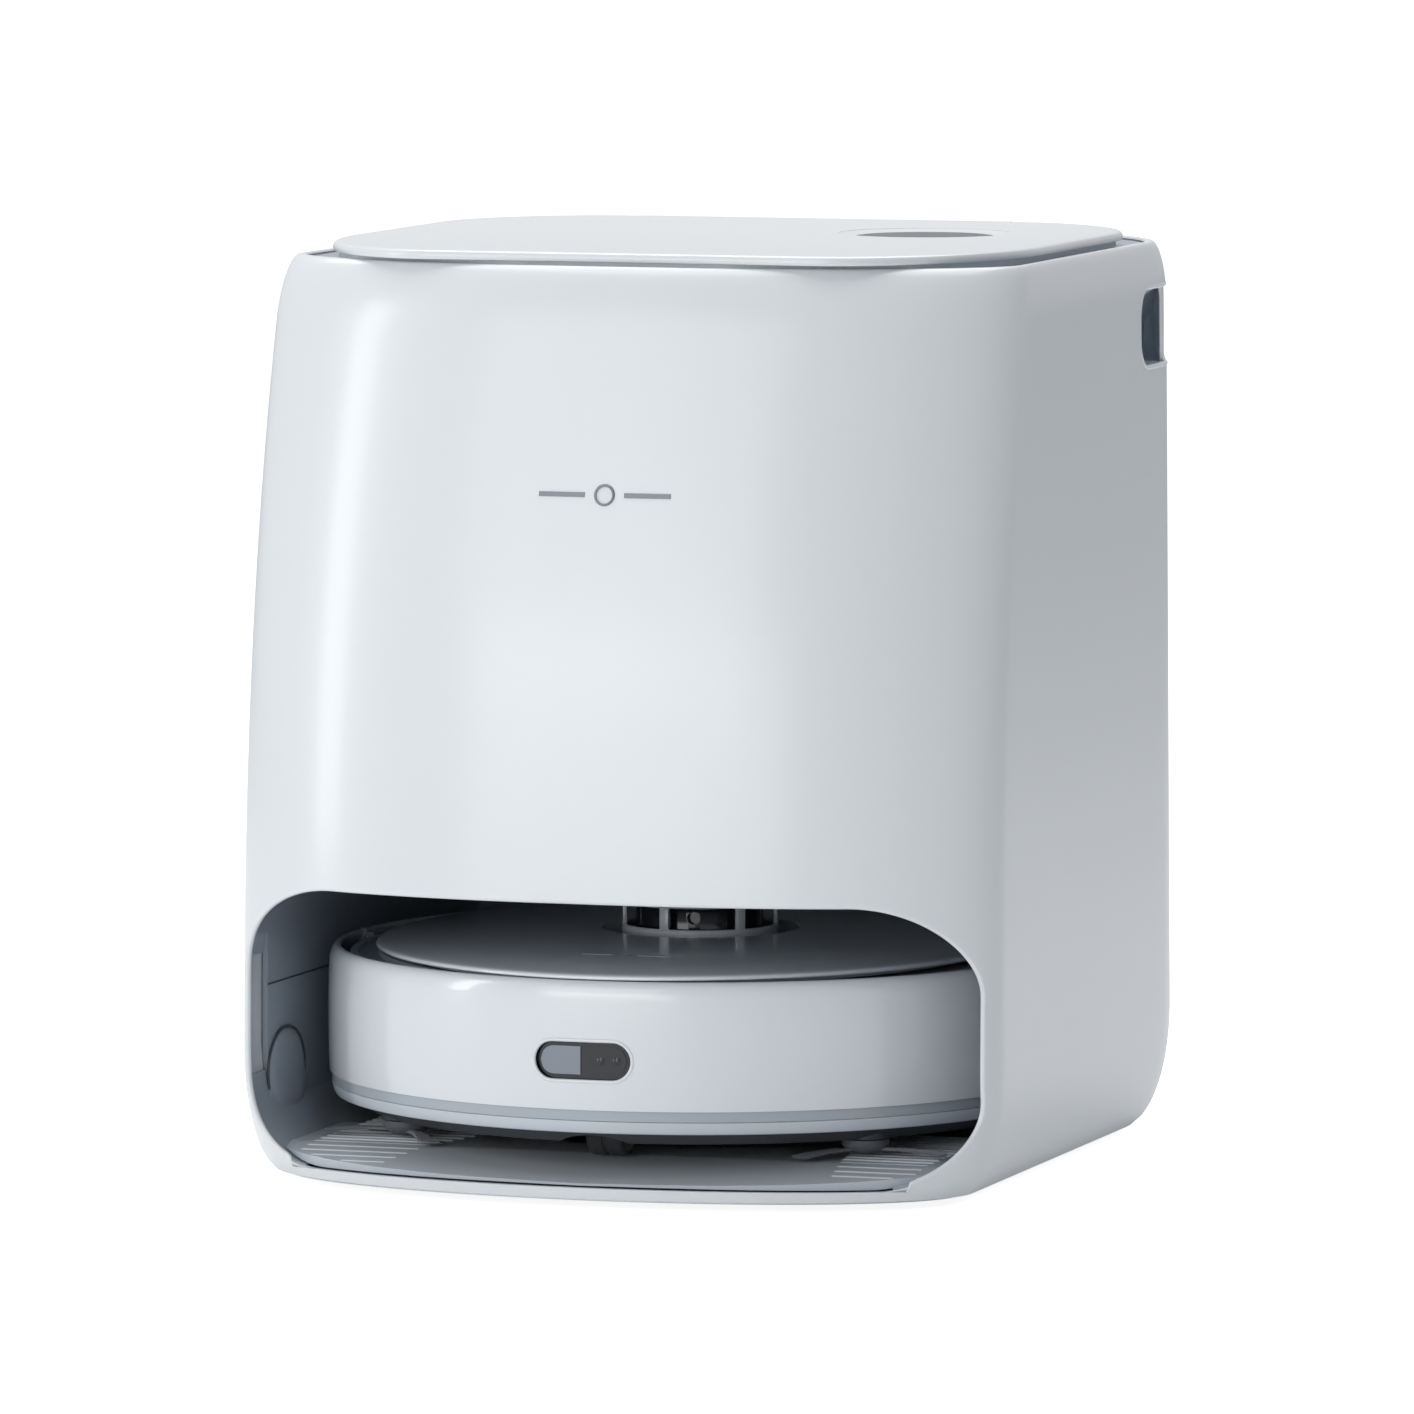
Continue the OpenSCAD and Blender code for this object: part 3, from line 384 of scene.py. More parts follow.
def new_group(name, inputs, outputs):
    """An empty shader group with its sockets; inputs are (name, type, value)."""
    kinds = {"colour": "NodeSocketColor", "value": "NodeSocketFloat", "vector": "NodeSocketVector"}
    tree = bpy.data.node_groups.new(name, "ShaderNodeTree")
    for label, kind, value in inputs:
        tree.interface.new_socket(name=label, in_out="INPUT", socket_type=kinds[kind]).default_value = value
    for label, kind in outputs:
        tree.interface.new_socket(name=label, in_out="OUTPUT", socket_type=kinds[kind])
    return tree, tree.nodes.new("NodeGroupInput"), tree.nodes.new("NodeGroupOutput")


def node(tree, kind, links=(), **values):
    """Adds a node; links are (input, source socket) and values set its properties or its inputs."""
    made = tree.nodes.new("ShaderNode" + kind)
    for key, value in values.items():
        if hasattr(made, key):
            setattr(made, key, value)
        else:
            made.inputs[key.replace("_", " ")].default_value = value
    for socket, source in links:
        tree.links.new(source, made.inputs[socket])
    return made


def maths(tree, operation, a, b=0.0, clamp=False):
    made = tree.nodes.new("ShaderNodeMath")
    made.operation, made.use_clamp = operation, clamp
    for socket, value in zip(made.inputs, (a, b)):
        if isinstance(value, (int, float)):
            socket.default_value = value
        else:
            tree.links.new(value, socket)
    return made.outputs[0]


def blended(tree, mask, a, b):
    made = tree.nodes.new("ShaderNodeMix")
    made.data_type = "RGBA"
    for socket, value in ((made.inputs["Factor"], mask), (made.inputs["A"], a), (made.inputs["B"], b)):
        socket_ = [s for s in made.inputs if s.name == socket.name and s.type == "RGBA"]
        target = socket_[0] if socket_ else made.inputs[0]
        if isinstance(value, (int, float, tuple)):
            target.default_value = value
        else:
            tree.links.new(value, target)
    return [s for s in made.outputs if s.type == "RGBA"][0]


def moulding_group():
    """Moulded plastic: slow colour drift, smudged gloss and fine grain."""
    tree, given, made = new_group("moulded_surface", [
        ("Colour", "colour", (0.8, 0.8, 0.8, 1)), ("Drift colour", "colour", (0.7, 0.7, 0.7, 1)),
        ("Patch size", "value", 9.0), ("Grain size", "value", 900.0), ("Roughness", "value", 0.3),
        ("Smudge", "value", 0.1)], [("Colour", "colour"), ("Roughness", "value"), ("Height", "value")])
    place = tree.nodes.new("ShaderNodeTexCoord").outputs["Object"]
    patch = node(tree, "TexNoise", [("Vector", place), ("Scale", given.outputs["Patch size"])], Detail=2.0)
    mask = maths(tree, "MULTIPLY_ADD", patch.outputs["Fac"], 2.2, clamp=True)
    mask.node.inputs[2].default_value = -0.6
    smears = node(tree, "TexNoise", [("Vector", place), ("Scale",
        maths(tree, "MULTIPLY", given.outputs["Patch size"], 4.0))],
                  Detail=5.0, Distortion=1.2)
    lift = maths(tree, "MULTIPLY", maths(tree, "SUBTRACT", smears.outputs["Fac"], 0.5),
        given.outputs["Smudge"])
    grain = node(tree, "TexNoise", [("Vector", place), ("Scale", given.outputs["Grain size"])], Detail=3.0)
    tree.links.new(blended(tree, mask, given.outputs["Colour"], given.outputs["Drift colour"]),
        made.inputs["Colour"])
    tree.links.new(maths(tree, "ADD", given.outputs["Roughness"], lift, clamp=True),
        made.inputs["Roughness"])
    tree.links.new(grain.outputs["Fac"], made.inputs["Height"])
    return tree


def dust_group():
    """Dust that settles on what faces upwards."""
    tree, given, made = new_group("settled_dust", [
        ("Colour", "colour", (0.5, 0.5, 0.5, 1)), ("Dust colour", "colour", (0.75, 0.75, 0.73, 1)),
        ("Amount", "value", 0.1)], [("Colour", "colour"), ("Mask", "value")])
    place = tree.nodes.new("ShaderNodeTexCoord").outputs["Object"]
    up = node(tree, "SeparateXYZ",
        [(0, tree.nodes.new("ShaderNodeNewGeometry").outputs["Normal"])]).outputs["Z"]
    specks = node(tree, "TexNoise", [("Vector", place)], Scale=260.0, Detail=6.0,
        Roughness=0.7).outputs["Fac"]
    clouds = node(tree, "TexNoise", [("Vector", place)], Scale=14.0, Detail=3.0).outputs["Fac"]
    mask = maths(tree, "MULTIPLY", maths(tree, "MULTIPLY", up, given.outputs["Amount"], clamp=True),
                 maths(tree, "MULTIPLY", specks, maths(tree, "MULTIPLY", clouds, 4.0)), clamp=True)
    tree.links.new(blended(tree, mask, given.outputs["Colour"], given.outputs["Dust colour"]),
        made.inputs["Colour"])
    tree.links.new(mask, made.inputs["Mask"])
    return tree


def edge_group():
    """Paler, rubbed corners."""
    tree, given, made = new_group("rubbed_edges", [
        ("Colour", "colour", (0.5, 0.5, 0.5, 1)), ("Edge colour", "colour", (0.8, 0.8, 0.8, 1)),
        ("Amount", "value", 0.5)], [("Colour", "colour"), ("Mask", "value")])
    sharp = tree.nodes.new("ShaderNodeNewGeometry").outputs["Pointiness"]
    place = tree.nodes.new("ShaderNodeTexCoord").outputs["Object"]
    broken = node(tree, "TexNoise", [("Vector", place)], Scale=130.0, Detail=4.0).outputs["Fac"]
    raised = maths(tree, "MULTIPLY", maths(tree, "SUBTRACT", sharp, 0.52, clamp=True), 12.0, clamp=True)
    mask = maths(tree, "MULTIPLY", raised, maths(tree, "MULTIPLY", broken, given.outputs["Amount"]),
        clamp=True)
    tree.links.new(blended(tree, mask, given.outputs["Colour"], given.outputs["Edge colour"]),
        made.inputs["Colour"])
    tree.links.new(mask, made.inputs["Mask"])
    return tree


def dots_group():
    """A sheet punched with a close grid of round holes."""
    tree, given, made = new_group("dot_mesh", [("Pitch", "value", 0.0025), ("Hole", "value", 0.3)],
                                  [("Mask", "value")])
    place = tree.nodes.new("ShaderNodeTexCoord").outputs["Object"]
    apart = node(tree, "SeparateXYZ", [(0, place)])
    row = maths(tree, "DIVIDE", apart.outputs["Y"], maths(tree, "MULTIPLY", given.outputs["Pitch"], 0.866))
    odd = maths(tree, "MULTIPLY", maths(tree, "MODULO", maths(tree, "FLOOR", row), 2.0), 0.5)
    column = maths(tree, "ADD", maths(tree, "DIVIDE", apart.outputs["X"], given.outputs["Pitch"]), odd)
    across = maths(tree, "SUBTRACT", maths(tree, "FRACT", column), 0.5)
    along = maths(tree, "SUBTRACT", maths(tree, "FRACT", row), 0.5)
    away = maths(tree, "SQRT", maths(tree, "ADD", maths(tree, "MULTIPLY", across, across),
                                     maths(tree, "MULTIPLY", along, along)))
    edge = maths(tree, "MULTIPLY", maths(tree, "SUBTRACT", given.outputs["Hole"], away), 14.0, clamp=True)
    tree.links.new(edge, made.inputs["Mask"])
    return tree


def brushed_group():
    """Fine lines left by rolling or turning metal."""
    tree, given, made = new_group("brushed_lines", [("Stretch", "vector", (900, 900, 30)),
        ("Roughness", "value", 0.3)],
                                  [("Roughness", "value"), ("Height", "value")])
    place = tree.nodes.new("ShaderNodeTexCoord").outputs["Object"]
    drawn = node(tree, "Mapping", [("Vector", place), ("Scale", given.outputs["Stretch"])])
    lines = node(tree, "TexNoise", [("Vector", drawn.outputs[0])], Scale=1.0, Detail=4.0).outputs["Fac"]
    tree.links.new(maths(tree, "MULTIPLY_ADD", lines, 0.3), made.inputs["Roughness"])
    tree.links.new(given.outputs["Roughness"], made.inputs["Roughness"].links[0].from_node.inputs[2])
    tree.links.new(lines, made.inputs["Height"])
    return tree


def pile_group():
    """Looped microfibre: curled loops in rows, with painted shade darkening the gaps between them."""
    tree, given, made = new_group("looped_pile", [
        ("Colour", "colour", (0.6, 0.7, 0.8, 1)), ("Gap colour", "colour", (0.2, 0.25, 0.3, 1)),
        ("Loop size", "value", 420.0)], [("Colour", "colour"), ("Height", "value")])
    place = tree.nodes.new("ShaderNodeTexCoord").outputs["Object"]
    bent = node(tree, "TexNoise", [("Vector", place)], Scale=90.0, Detail=2.0).outputs["Color"]
    pushed = node(tree, "VectorMath", [(0, bent)], operation="SCALE", Scale=0.004).outputs[0]
    moved = node(tree, "VectorMath", [(0, place), (1, pushed)], operation="ADD").outputs[0]
    loops = node(tree, "TexVoronoi", [("Vector", moved),
        ("Scale", given.outputs["Loop size"])]).outputs["Distance"]
    hairs = node(tree, "TexNoise", [("Vector", moved)], Scale=2400.0, Detail=3.0).outputs["Fac"]
    high = maths(tree, "SUBTRACT", 1.0, loops, clamp=True)
    # Painted shade: the gaps between loops are coloured darker, standing in for the shade that falls between the
    # fibres.
    mask = maths(tree, "MULTIPLY", maths(tree, "SUBTRACT", loops, 0.35, clamp=True), 1.6, clamp=True)
    tree.links.new(blended(tree, mask, given.outputs["Colour"], given.outputs["Gap colour"]),
        made.inputs["Colour"])
    tree.links.new(maths(tree, "MULTIPLY_ADD", hairs, 0.35), made.inputs["Height"])
    tree.links.new(high, made.inputs["Height"].links[0].from_node.inputs[2])
    return tree


groups = {"moulded": moulding_group(), "dust": dust_group(), "edges": edge_group(), "dots": dots_group(),
          "brushed": brushed_group(), "pile": pile_group()}


def placed_group(tree, name, links=(), **values):
    made = tree.nodes.new("ShaderNodeGroup")
    made.node_tree = groups[name]
    for key, value in values.items():
        made.inputs[key.replace("_", " ")].default_value = value
    for socket, source in links:
        tree.links.new(source, made.inputs[socket])
    return made


def rgba(colour):
    return (colour[0], colour[1], colour[2], 1.0)


def shaded(colour, by):
    return tuple(max(0.0, min(1.0, c * by)) for c in colour)


def plastic(name, colour, rough, drift=0.94, smudge=0.06, patch=7.0, grain=900.0, relief=0.02, dust=0.0,
            rub=0.0, coat=0.0, coat_rough=0.08, metal=0.0, alpha=1.0, through=0.0, sheen=0.0, brushed=None):
    """A moulded, painted or metal finish with its own grain, drift, dust and rubbed edges."""
    material = bpy.data.materials.new(name)
    material.use_nodes = True
    tree = material.node_tree
    shader = tree.nodes["Principled BSDF"]
    body = placed_group(tree, "moulded", Colour=rgba(colour), Drift_colour=rgba(shaded(colour, drift)),
                        Patch_size=patch, Grain_size=grain, Roughness=rough, Smudge=smudge)
    paint, gloss, height = body.outputs["Colour"], body.outputs["Roughness"], body.outputs["Height"]
    if brushed:
        lines = placed_group(tree, "brushed", Stretch=brushed, Roughness=rough)
        gloss, height = lines.outputs["Roughness"], lines.outputs["Height"]
    if rub:
        paint = placed_group(tree, "edges", [("Colour", paint)], Edge_colour=rgba(shaded(colour, 1.5)),
                             Amount=rub).outputs["Colour"]
    if dust:
        paint = placed_group(tree, "dust", [("Colour", paint)], Amount=dust).outputs["Colour"]
    bump = node(tree, "Bump", [("Height", height)], Strength=relief, Distance=0.001)
    tree.links.new(paint, shader.inputs["Base Color"])
    tree.links.new(gloss, shader.inputs["Roughness"])
    tree.links.new(bump.outputs["Normal"], shader.inputs["Normal"])
    for label, value in (("Coat Weight", coat), ("Coat Roughness", coat_rough), ("Metallic", metal),
                         ("Alpha", alpha), ("Transmission Weight", through), ("Sheen Weight", sheen)):
        shader.inputs[label].default_value = value
    return material


def dotted(name, colour, hole_colour, rough, pitch, hole):
    material = plastic(name, colour, rough, coat=0.1, coat_rough=0.2, smudge=0.05)
    tree = material.node_tree
    shader = tree.nodes["Principled BSDF"]
    mask = placed_group(tree, "dots", Pitch=pitch, Hole=hole).outputs["Mask"]
    paint = shader.inputs["Base Color"].links[0].from_socket
    tree.links.new(blended(tree, mask, paint, rgba(hole_colour)), shader.inputs["Base Color"])
    return material


def fabric(name, colour, gap_shade_colour, loop, sheen=0.4):
    material = bpy.data.materials.new(name)
    material.use_nodes = True
    tree = material.node_tree
    shader = tree.nodes["Principled BSDF"]
    pile = placed_group(tree, "pile", Colour=rgba(colour), Gap_colour=rgba(gap_shade_colour), Loop_size=loop)
    bump = node(tree, "Bump", [("Height", pile.outputs["Height"])], Strength=0.7, Distance=0.0012)
    tree.links.new(pile.outputs["Colour"], shader.inputs["Base Color"])
    tree.links.new(bump.outputs["Normal"], shader.inputs["Normal"])
    shader.inputs["Roughness"].default_value = 0.92
    shader.inputs["Sheen Weight"].default_value = sheen
    return material


finishes = {
    "shell": plastic("gloss_pale_shell", (0.70, 0.725, 0.745), 0.30, drift=0.985, coat=0.35,
        coat_rough=0.14, smudge=0.03,
                     relief=0.006, grain=500.0, patch=4.0),
    "service_panel": plastic("grained_panel", (0.58, 0.615, 0.65), 0.5, relief=0.12, grain=1400.0,
    dust=0.15, rub=0.3),
    "screw_steel": plastic("plated_screw", (0.56, 0.56, 0.57), 0.28, metal=1.0, relief=0.05,
    brushed=(2600, 2600, 90)),
    "dark_base": plastic("textured_base", (0.13, 0.14, 0.16), 0.62, relief=0.25, grain=1100.0, dust=0.2,
    rub=0.4),
    "feet_rubber": plastic("foot_rubber", (0.035, 0.036, 0.04), 0.82, relief=0.3, grain=1500.0, dust=0.5),
    "bay_grey": plastic("satin_bay", (0.36, 0.41, 0.47), 0.42, drift=0.92, relief=0.03, dust=0.08),
    "band_grey": plastic("satin_band", (0.22, 0.265, 0.32), 0.2, coat=0.5, relief=0.01, dust=0.05),
    "contact_metal": plastic("contact_strip", (0.80, 0.66, 0.40), 0.25, metal=1.0, relief=0.05,
    brushed=(60, 60, 3000)),
    "clean_tank_plastic": plastic("clear_blue_tank", (0.55, 0.72, 0.86), 0.16, through=0.55, coat=0.3,
    relief=0.01),
    "dirty_tank_plastic": plastic("smoked_tank", (0.16, 0.17, 0.19), 0.2, through=0.35, coat=0.3,
    relief=0.01),
    "tank_fittings": plastic("blue_fitting", (0.07, 0.19, 0.42), 0.38, relief=0.06, rub=0.5, dust=0.1),
    "pump_body": plastic("pump_plastic", (0.06, 0.065, 0.08), 0.45, relief=0.15, grain=1300.0, rub=0.4,
    dust=0.15),
    "motor_can": plastic("motor_can", (0.62, 0.63, 0.65), 0.32, metal=1.0, relief=0.06,
    brushed=(1800, 1800, 40)),
    "circuit_board": plastic("lacquered_board", (0.02, 0.15, 0.07), 0.3, drift=0.7, patch=60.0, coat=0.4,
    relief=0.1,
                             grain=500.0),
    "hinge_plastic": plastic("hinge_nylon", (0.33, 0.35, 0.38), 0.45, relief=0.08, rub=0.5),
    "display_mesh": dotted("display_dots", (0.02, 0.023, 0.027), (0.22, 0.245, 0.28), 0.42, 0.0026, 0.26),
    "tray_grey": plastic("satin_tray", (0.52, 0.565, 0.61), 0.36, drift=0.93, relief=0.04, dust=0.12,
    coat=0.2),
    "board_grey": plastic("wash_board", (0.68, 0.72, 0.76), 0.4, relief=0.06, dust=0.1),
    "chassis_black": plastic("grained_chassis", (0.045, 0.048, 0.054), 0.55, relief=0.22, grain=1300.0,
    dust=0.25, rub=0.5),
    "robot_white": plastic("robot_gloss", (0.70, 0.725, 0.75), 0.24, drift=0.985, coat=0.5,
    coat_rough=0.07, smudge=0.04,
                           relief=0.006, grain=500.0),
    "dust_box_smoke": plastic("smoked_box", (0.10, 0.11, 0.125), 0.18, through=0.4, coat=0.4, relief=0.02),
    "fan_white": plastic("fan_nylon", (0.72, 0.73, 0.75), 0.4, relief=0.05, dust=0.25),
    "sensor_black": plastic("sensor_gloss", (0.012, 0.014, 0.018), 0.16, coat=0.2, coat_rough=0.05,
    relief=0.004),
    "tyre_rubber": plastic("tyre_rubber", (0.028, 0.029, 0.032), 0.78, relief=0.35, grain=1200.0, dust=0.6),
    "hub_grey": plastic("hub_nylon", (0.36, 0.38, 0.41), 0.42, relief=0.08, rub=0.5, dust=0.2),
    "brush_rubber": plastic("brush_rubber", (0.12, 0.13, 0.145), 0.6, relief=0.2, grain=1400.0, dust=0.3),
    # The second colour of a fibre finish is painted shade for the gaps between its loops.
    "mop_fabric": fabric("looped_microfibre", (0.50, 0.60, 0.70), (0.16, 0.21, 0.27), 430.0),
}
# Painted shade: a grey for the white ledge sunk between the band and the cover, standing in for the shade that
# falls there.
deck_shade_finish = plastic("deck_painted_shade", (0.42, 0.46, 0.51), 0.32, coat=0.3, relief=0.01, dust=0.06)
skirt_dark = plastic("skirt_shade", (0.40, 0.44, 0.48), 0.35, relief=0.03, dust=0.05)
skirt_light = plastic("skirt_pale", (0.56, 0.60, 0.64), 0.34, relief=0.03, dust=0.05)
badge_finish = plastic("badge_grey", (0.20, 0.22, 0.25), 0.35, coat=0.3, relief=0.02)
bristle_finish = plastic("bristle_nylon", (0.16, 0.17, 0.19), 0.5, relief=0.1, sheen=0.3)
seam_dark = plastic("bay_seam", (0.07, 0.085, 0.105), 0.5, relief=0.03)
grip_shade = plastic("grip_shade", (0.40, 0.46, 0.53), 0.4, relief=0.05, dust=0.1)
glass_grey = plastic("frosted_glass", (0.20, 0.23, 0.27), 0.16, coat=0.8, coat_rough=0.04, relief=0.004)
# Its second colour is painted shade for the gaps between the loops.
stripe_fabric = fabric("scrub_bristle_stripe", (0.20, 0.30, 0.42), (0.06, 0.09, 0.13), 520.0)

for row in frame["record"]["subparts"]:
    shown = frame["nodes"][row["node"]]
    shown.data.materials.clear()
    shown.data.materials.append(finishes[row["material_slot"]])

# ---------- Station: shell, rim, lid and display ----------


def station_shell():
    levels = [foot_h + 1 * mm + 4 * mm * i for i in range(16)] + [70 * mm + 6 * mm * i for i in range(54)]
    levels += [rim_z - d * mm for d in (35, 32, 29, 26, 23, 20, 17, 14.5, 12, 9.5, 7.5, 5.7, 4.2, 3, 2,
        1.2, 0.6, 0.2)]
    rows = [ring(foot_h, 2.6 * mm), ring(foot_h, 1.2 * mm), ring(foot_h, 0.5 * mm, foot_h + 0.3 * mm)]
    rows += [ring(z, 0) for z in levels]
    rows += [ring(rim_z, t * mm, rim_z - d * mm) for t, d in ((0.5, 0), (1.7, 0), (2.6, 0.3), (3, 1))]
    rows += [ring(z, shell_wall) for z in (rim_z - 6 * mm, 0.40, 0.37, 0.33, 0.26, 0.18, 0.11, 0.06,
        0.035, 0.018, foot_h)]
    rows.append(rows[0])
    shell = lattice("station_shell", rows)
    cut(shell, plate("opening_cutter", opening_outline(0), -half_deep - 20 * mm,
        -half_deep + front_round_y + 10 * mm, "y"))
    for s in (-1, 1):
        grip = rounded_rect(130 * mm, 388.5 * mm, 76 * mm, 38 * mm, 14 * mm)
        cut(shell, plate("grip_cutter", grip, s * (half_wide - 11 * mm), s * (half_wide + 5 * mm), "x"))
    x, z = (panel_lo.x + panel_hi.x) / 2, (panel_lo.z + panel_hi.z) / 2
    w, h = panel_hi.x - panel_lo.x, panel_hi.z - panel_lo.z
    cut(shell, plate("panel_cutter", rounded_rect(x, z, w, h, 12 * mm), half_deep - 14 * mm,
        half_deep + 9 * mm, "y"))
    return placed(smooth(shell, 28), "station", "shell", stands_for=["outer_shell"])


def opening_lip():
    """The rolled edge of the opening, level with the shell's outer face."""
    half = 1.55 * mm
    step = 0.5 * mm
    path = []
    for x, z in spread(opening_outline(0, 40), 6 * mm):
        slope_x = (face_y(x + step, z) - face_y(x - step, z)) / (2 * step)
        slope_z = (face_y(x, z + step) - face_y(x, z - step)) / (2 * step)
        inward = Vector((-slope_x, 1, -slope_z)).normalized()
        path.append(Vector((x, face_y(x, z), z)) + inward * half)
    lip = bead("opening_lip", path, half, sides=14)
    for vertex in lip.data.vertices:
        if abs(vertex.co.x) < 150 * mm and vertex.co.z < 20 * mm:
            vertex.co.z = min(vertex.co.z, tray_lo.z - 0.3 * mm)
    return placed(smooth(lip, 60), "station", "shell")


def rim_trim():
    """Sloping band between the shell's rim and the lid."""
    outer = [(2.9, 1.6), (3.4, 1.4), (5.0, 2.0), (8.0, 2.9), (10.0, 3.3), (14.0, 3.5)]
    rows = [ring(rim_z, t * mm, rim_z - d * mm) for t, d in outer]
    rows += [ring(rim_z, t * mm, trim_hi.z - 3.8 * mm) for t in (14, 3.2)] + [rows[0]]
    trim = lattice("rim_trim", rows)
    return placed(smooth(trim, 50), "station", "band_grey")


def tank_bay_deck():
    """The flat part of the trim round the tanks' hatch."""
    outline = [tuple(p[:2]) for p in ring(rim_z, 13.5 * mm)[:-1]]
    deck = plate("hatch_frame", outline, trim_lo.z + 0.3 * mm, trim_hi.z - 0.1 * mm)
    cut(deck, plate("hatch_cutter", rounded_rect(0, -33 * mm, 294 * mm, 190 * mm, 30 * mm, 12),
                    trim_lo.z - 5 * mm, trim_hi.z + 5 * mm))
    soften(deck, 0.8 * mm, 3, 40)
    return placed(smooth(deck), "station", "band_grey", stands_for=["top_trim"])


lid_hw, lid_front, lid_back = lid_hi.x, lid_lo.y, lid_hi.y
lid_round = (80 * mm, 122 * mm, 87 * mm)
display_x, display_y = (lens_lo.x + lens_hi.x) / 2, (lens_lo.y + lens_hi.y) / 2
display_r = (lens_hi.x - lens_lo.x) / 2
dish_r = 41 * mm


def lid_ring(t, z):
    hw, yf, yb = lid_hw - t, lid_front + t, lid_back - t
    rx, ry, rb = (r - t for r in lid_round)
    side = [((hw - rx) * i / 8, yf) for i in range(8)]
    side += [(hw - rx + rx * math.sin(a),
        yf + ry - ry * math.cos(a)) for a in [pi / 2 * i / 36 for i in range(36)]]
    side += [(hw, yf + ry + (yb - rb - yf - ry) * i / 8) for i in range(8)]
    side += [(hw - rb + rb * math.cos(a),
        yb - rb + rb * math.sin(a)) for a in [pi / 2 * i / 24 for i in range(24)]]
    side += [((hw - rb) * (1 - i / 8), yb) for i in range(9)]
    whole = side + [(-x, y) for x, y in reversed(side[1:-1])]
    points = [Vector((x, y, z)) for x, y in whole]
    return points + [points[0].copy()]


def lid_cover():
    """The lid's top skin: a flat field inside a bullnose edge, with notches for the hinges."""
    skin = 4.5 * mm
    nose = [(4.0, skin), (1.5, skin), (0.5, skin - 0.3 * mm), (0.05, skin - 1.2 * mm), (0, 2.6 * mm),
        (0.25, 1.6 * mm),
            (0.9, 0.75 * mm), (1.9, 0.25 * mm), (3.2, 0.04 * mm), (4.6, 0)]
    rows = [lid_ring(t * mm, tall - d) for t, d in nose]
    lid = lattice("lid_cover", rows)
    edit(lid, "EDGE")
    bpy.ops.mesh.select_all(action="DESELECT")
    bpy.ops.mesh.select_non_manifold()
    bpy.ops.mesh.edge_face_add()
    bpy.ops.mesh.select_all(action="SELECT")
    bpy.ops.mesh.normals_make_consistent(inside=False)
    done()
    cut(lid, rod("dish_cutter", (display_x, display_y, tall), dish_r, 30 * mm, "z", 96))
    for s in (-1, 1):
        cut(lid, block("notch_cutter", (s * 106 * mm - 12.1 * mm, 170.5 * mm, tall - 20 * mm),
                       (s * 106 * mm + 12.1 * mm, 220 * mm, tall + 10 * mm)))
    return placed(smooth(lid, 25), "lid", "shell", stands_for=["lid_panel"])


def display():
    """The shallow dish with the dotted touch display in its middle."""
    here = (display_x, display_y)
    dish = turned("display_dish", [(dish_r + 0.05 * mm, tall - 4 * mm),
        (dish_r + 0.05 * mm, tall - 0.35 * mm),
                                   (dish_r - 0.3 * mm, tall - 0.12 * mm),
                                   (dish_r - 1.2 * mm, tall - 0.2 * mm),
                                   (dish_r - 3 * mm, tall - 0.6 * mm), (dish_r - 6 * mm, tall - 1.05 * mm),
                                   (display_r + 0.9 * mm, tall - 1.2 * mm),
                                   (display_r + 0.35 * mm, tall - 1.45 * mm),
                                   (display_r + 0.35 * mm, tall - 4 * mm),
                                   (dish_r + 0.05 * mm, tall - 4 * mm)], here)
    placed(smooth(dish, 50), "lid", "shell")
    lens = turned("display_face", [(0.01 * mm, tall - 1.02 * mm), (display_r * 0.5, tall - 1.06 * mm),
                                   (display_r - 1.2 * mm, tall - 1.22 * mm),
                                   (display_r - 0.2 * mm, tall - 1.5 * mm),
                                   (display_r, tall - 1.9 * mm), (display_r, tall - 3.1 * mm),
                                   (0.01 * mm, tall - 3.1 * mm), (0.01 * mm, tall - 1.02 * mm)], here)
    placed(smooth(lens, 40), "lid", "display_mesh", stands_for=["display_lens"])


station_shell()
opening_lip()
rim_trim()
tank_bay_deck()
lid_cover()
display()

# ---------- Station: parking bay, tray and grips ----------

lining_t = liner_inset + liner_wall
bay_floor_z = liner_lo.z
bay_top = liner_hi.z - liner_wall
bay_back = liner_hi.y - liner_wall
front_cut_y = -half_deep + front_round_y + 10 * mm


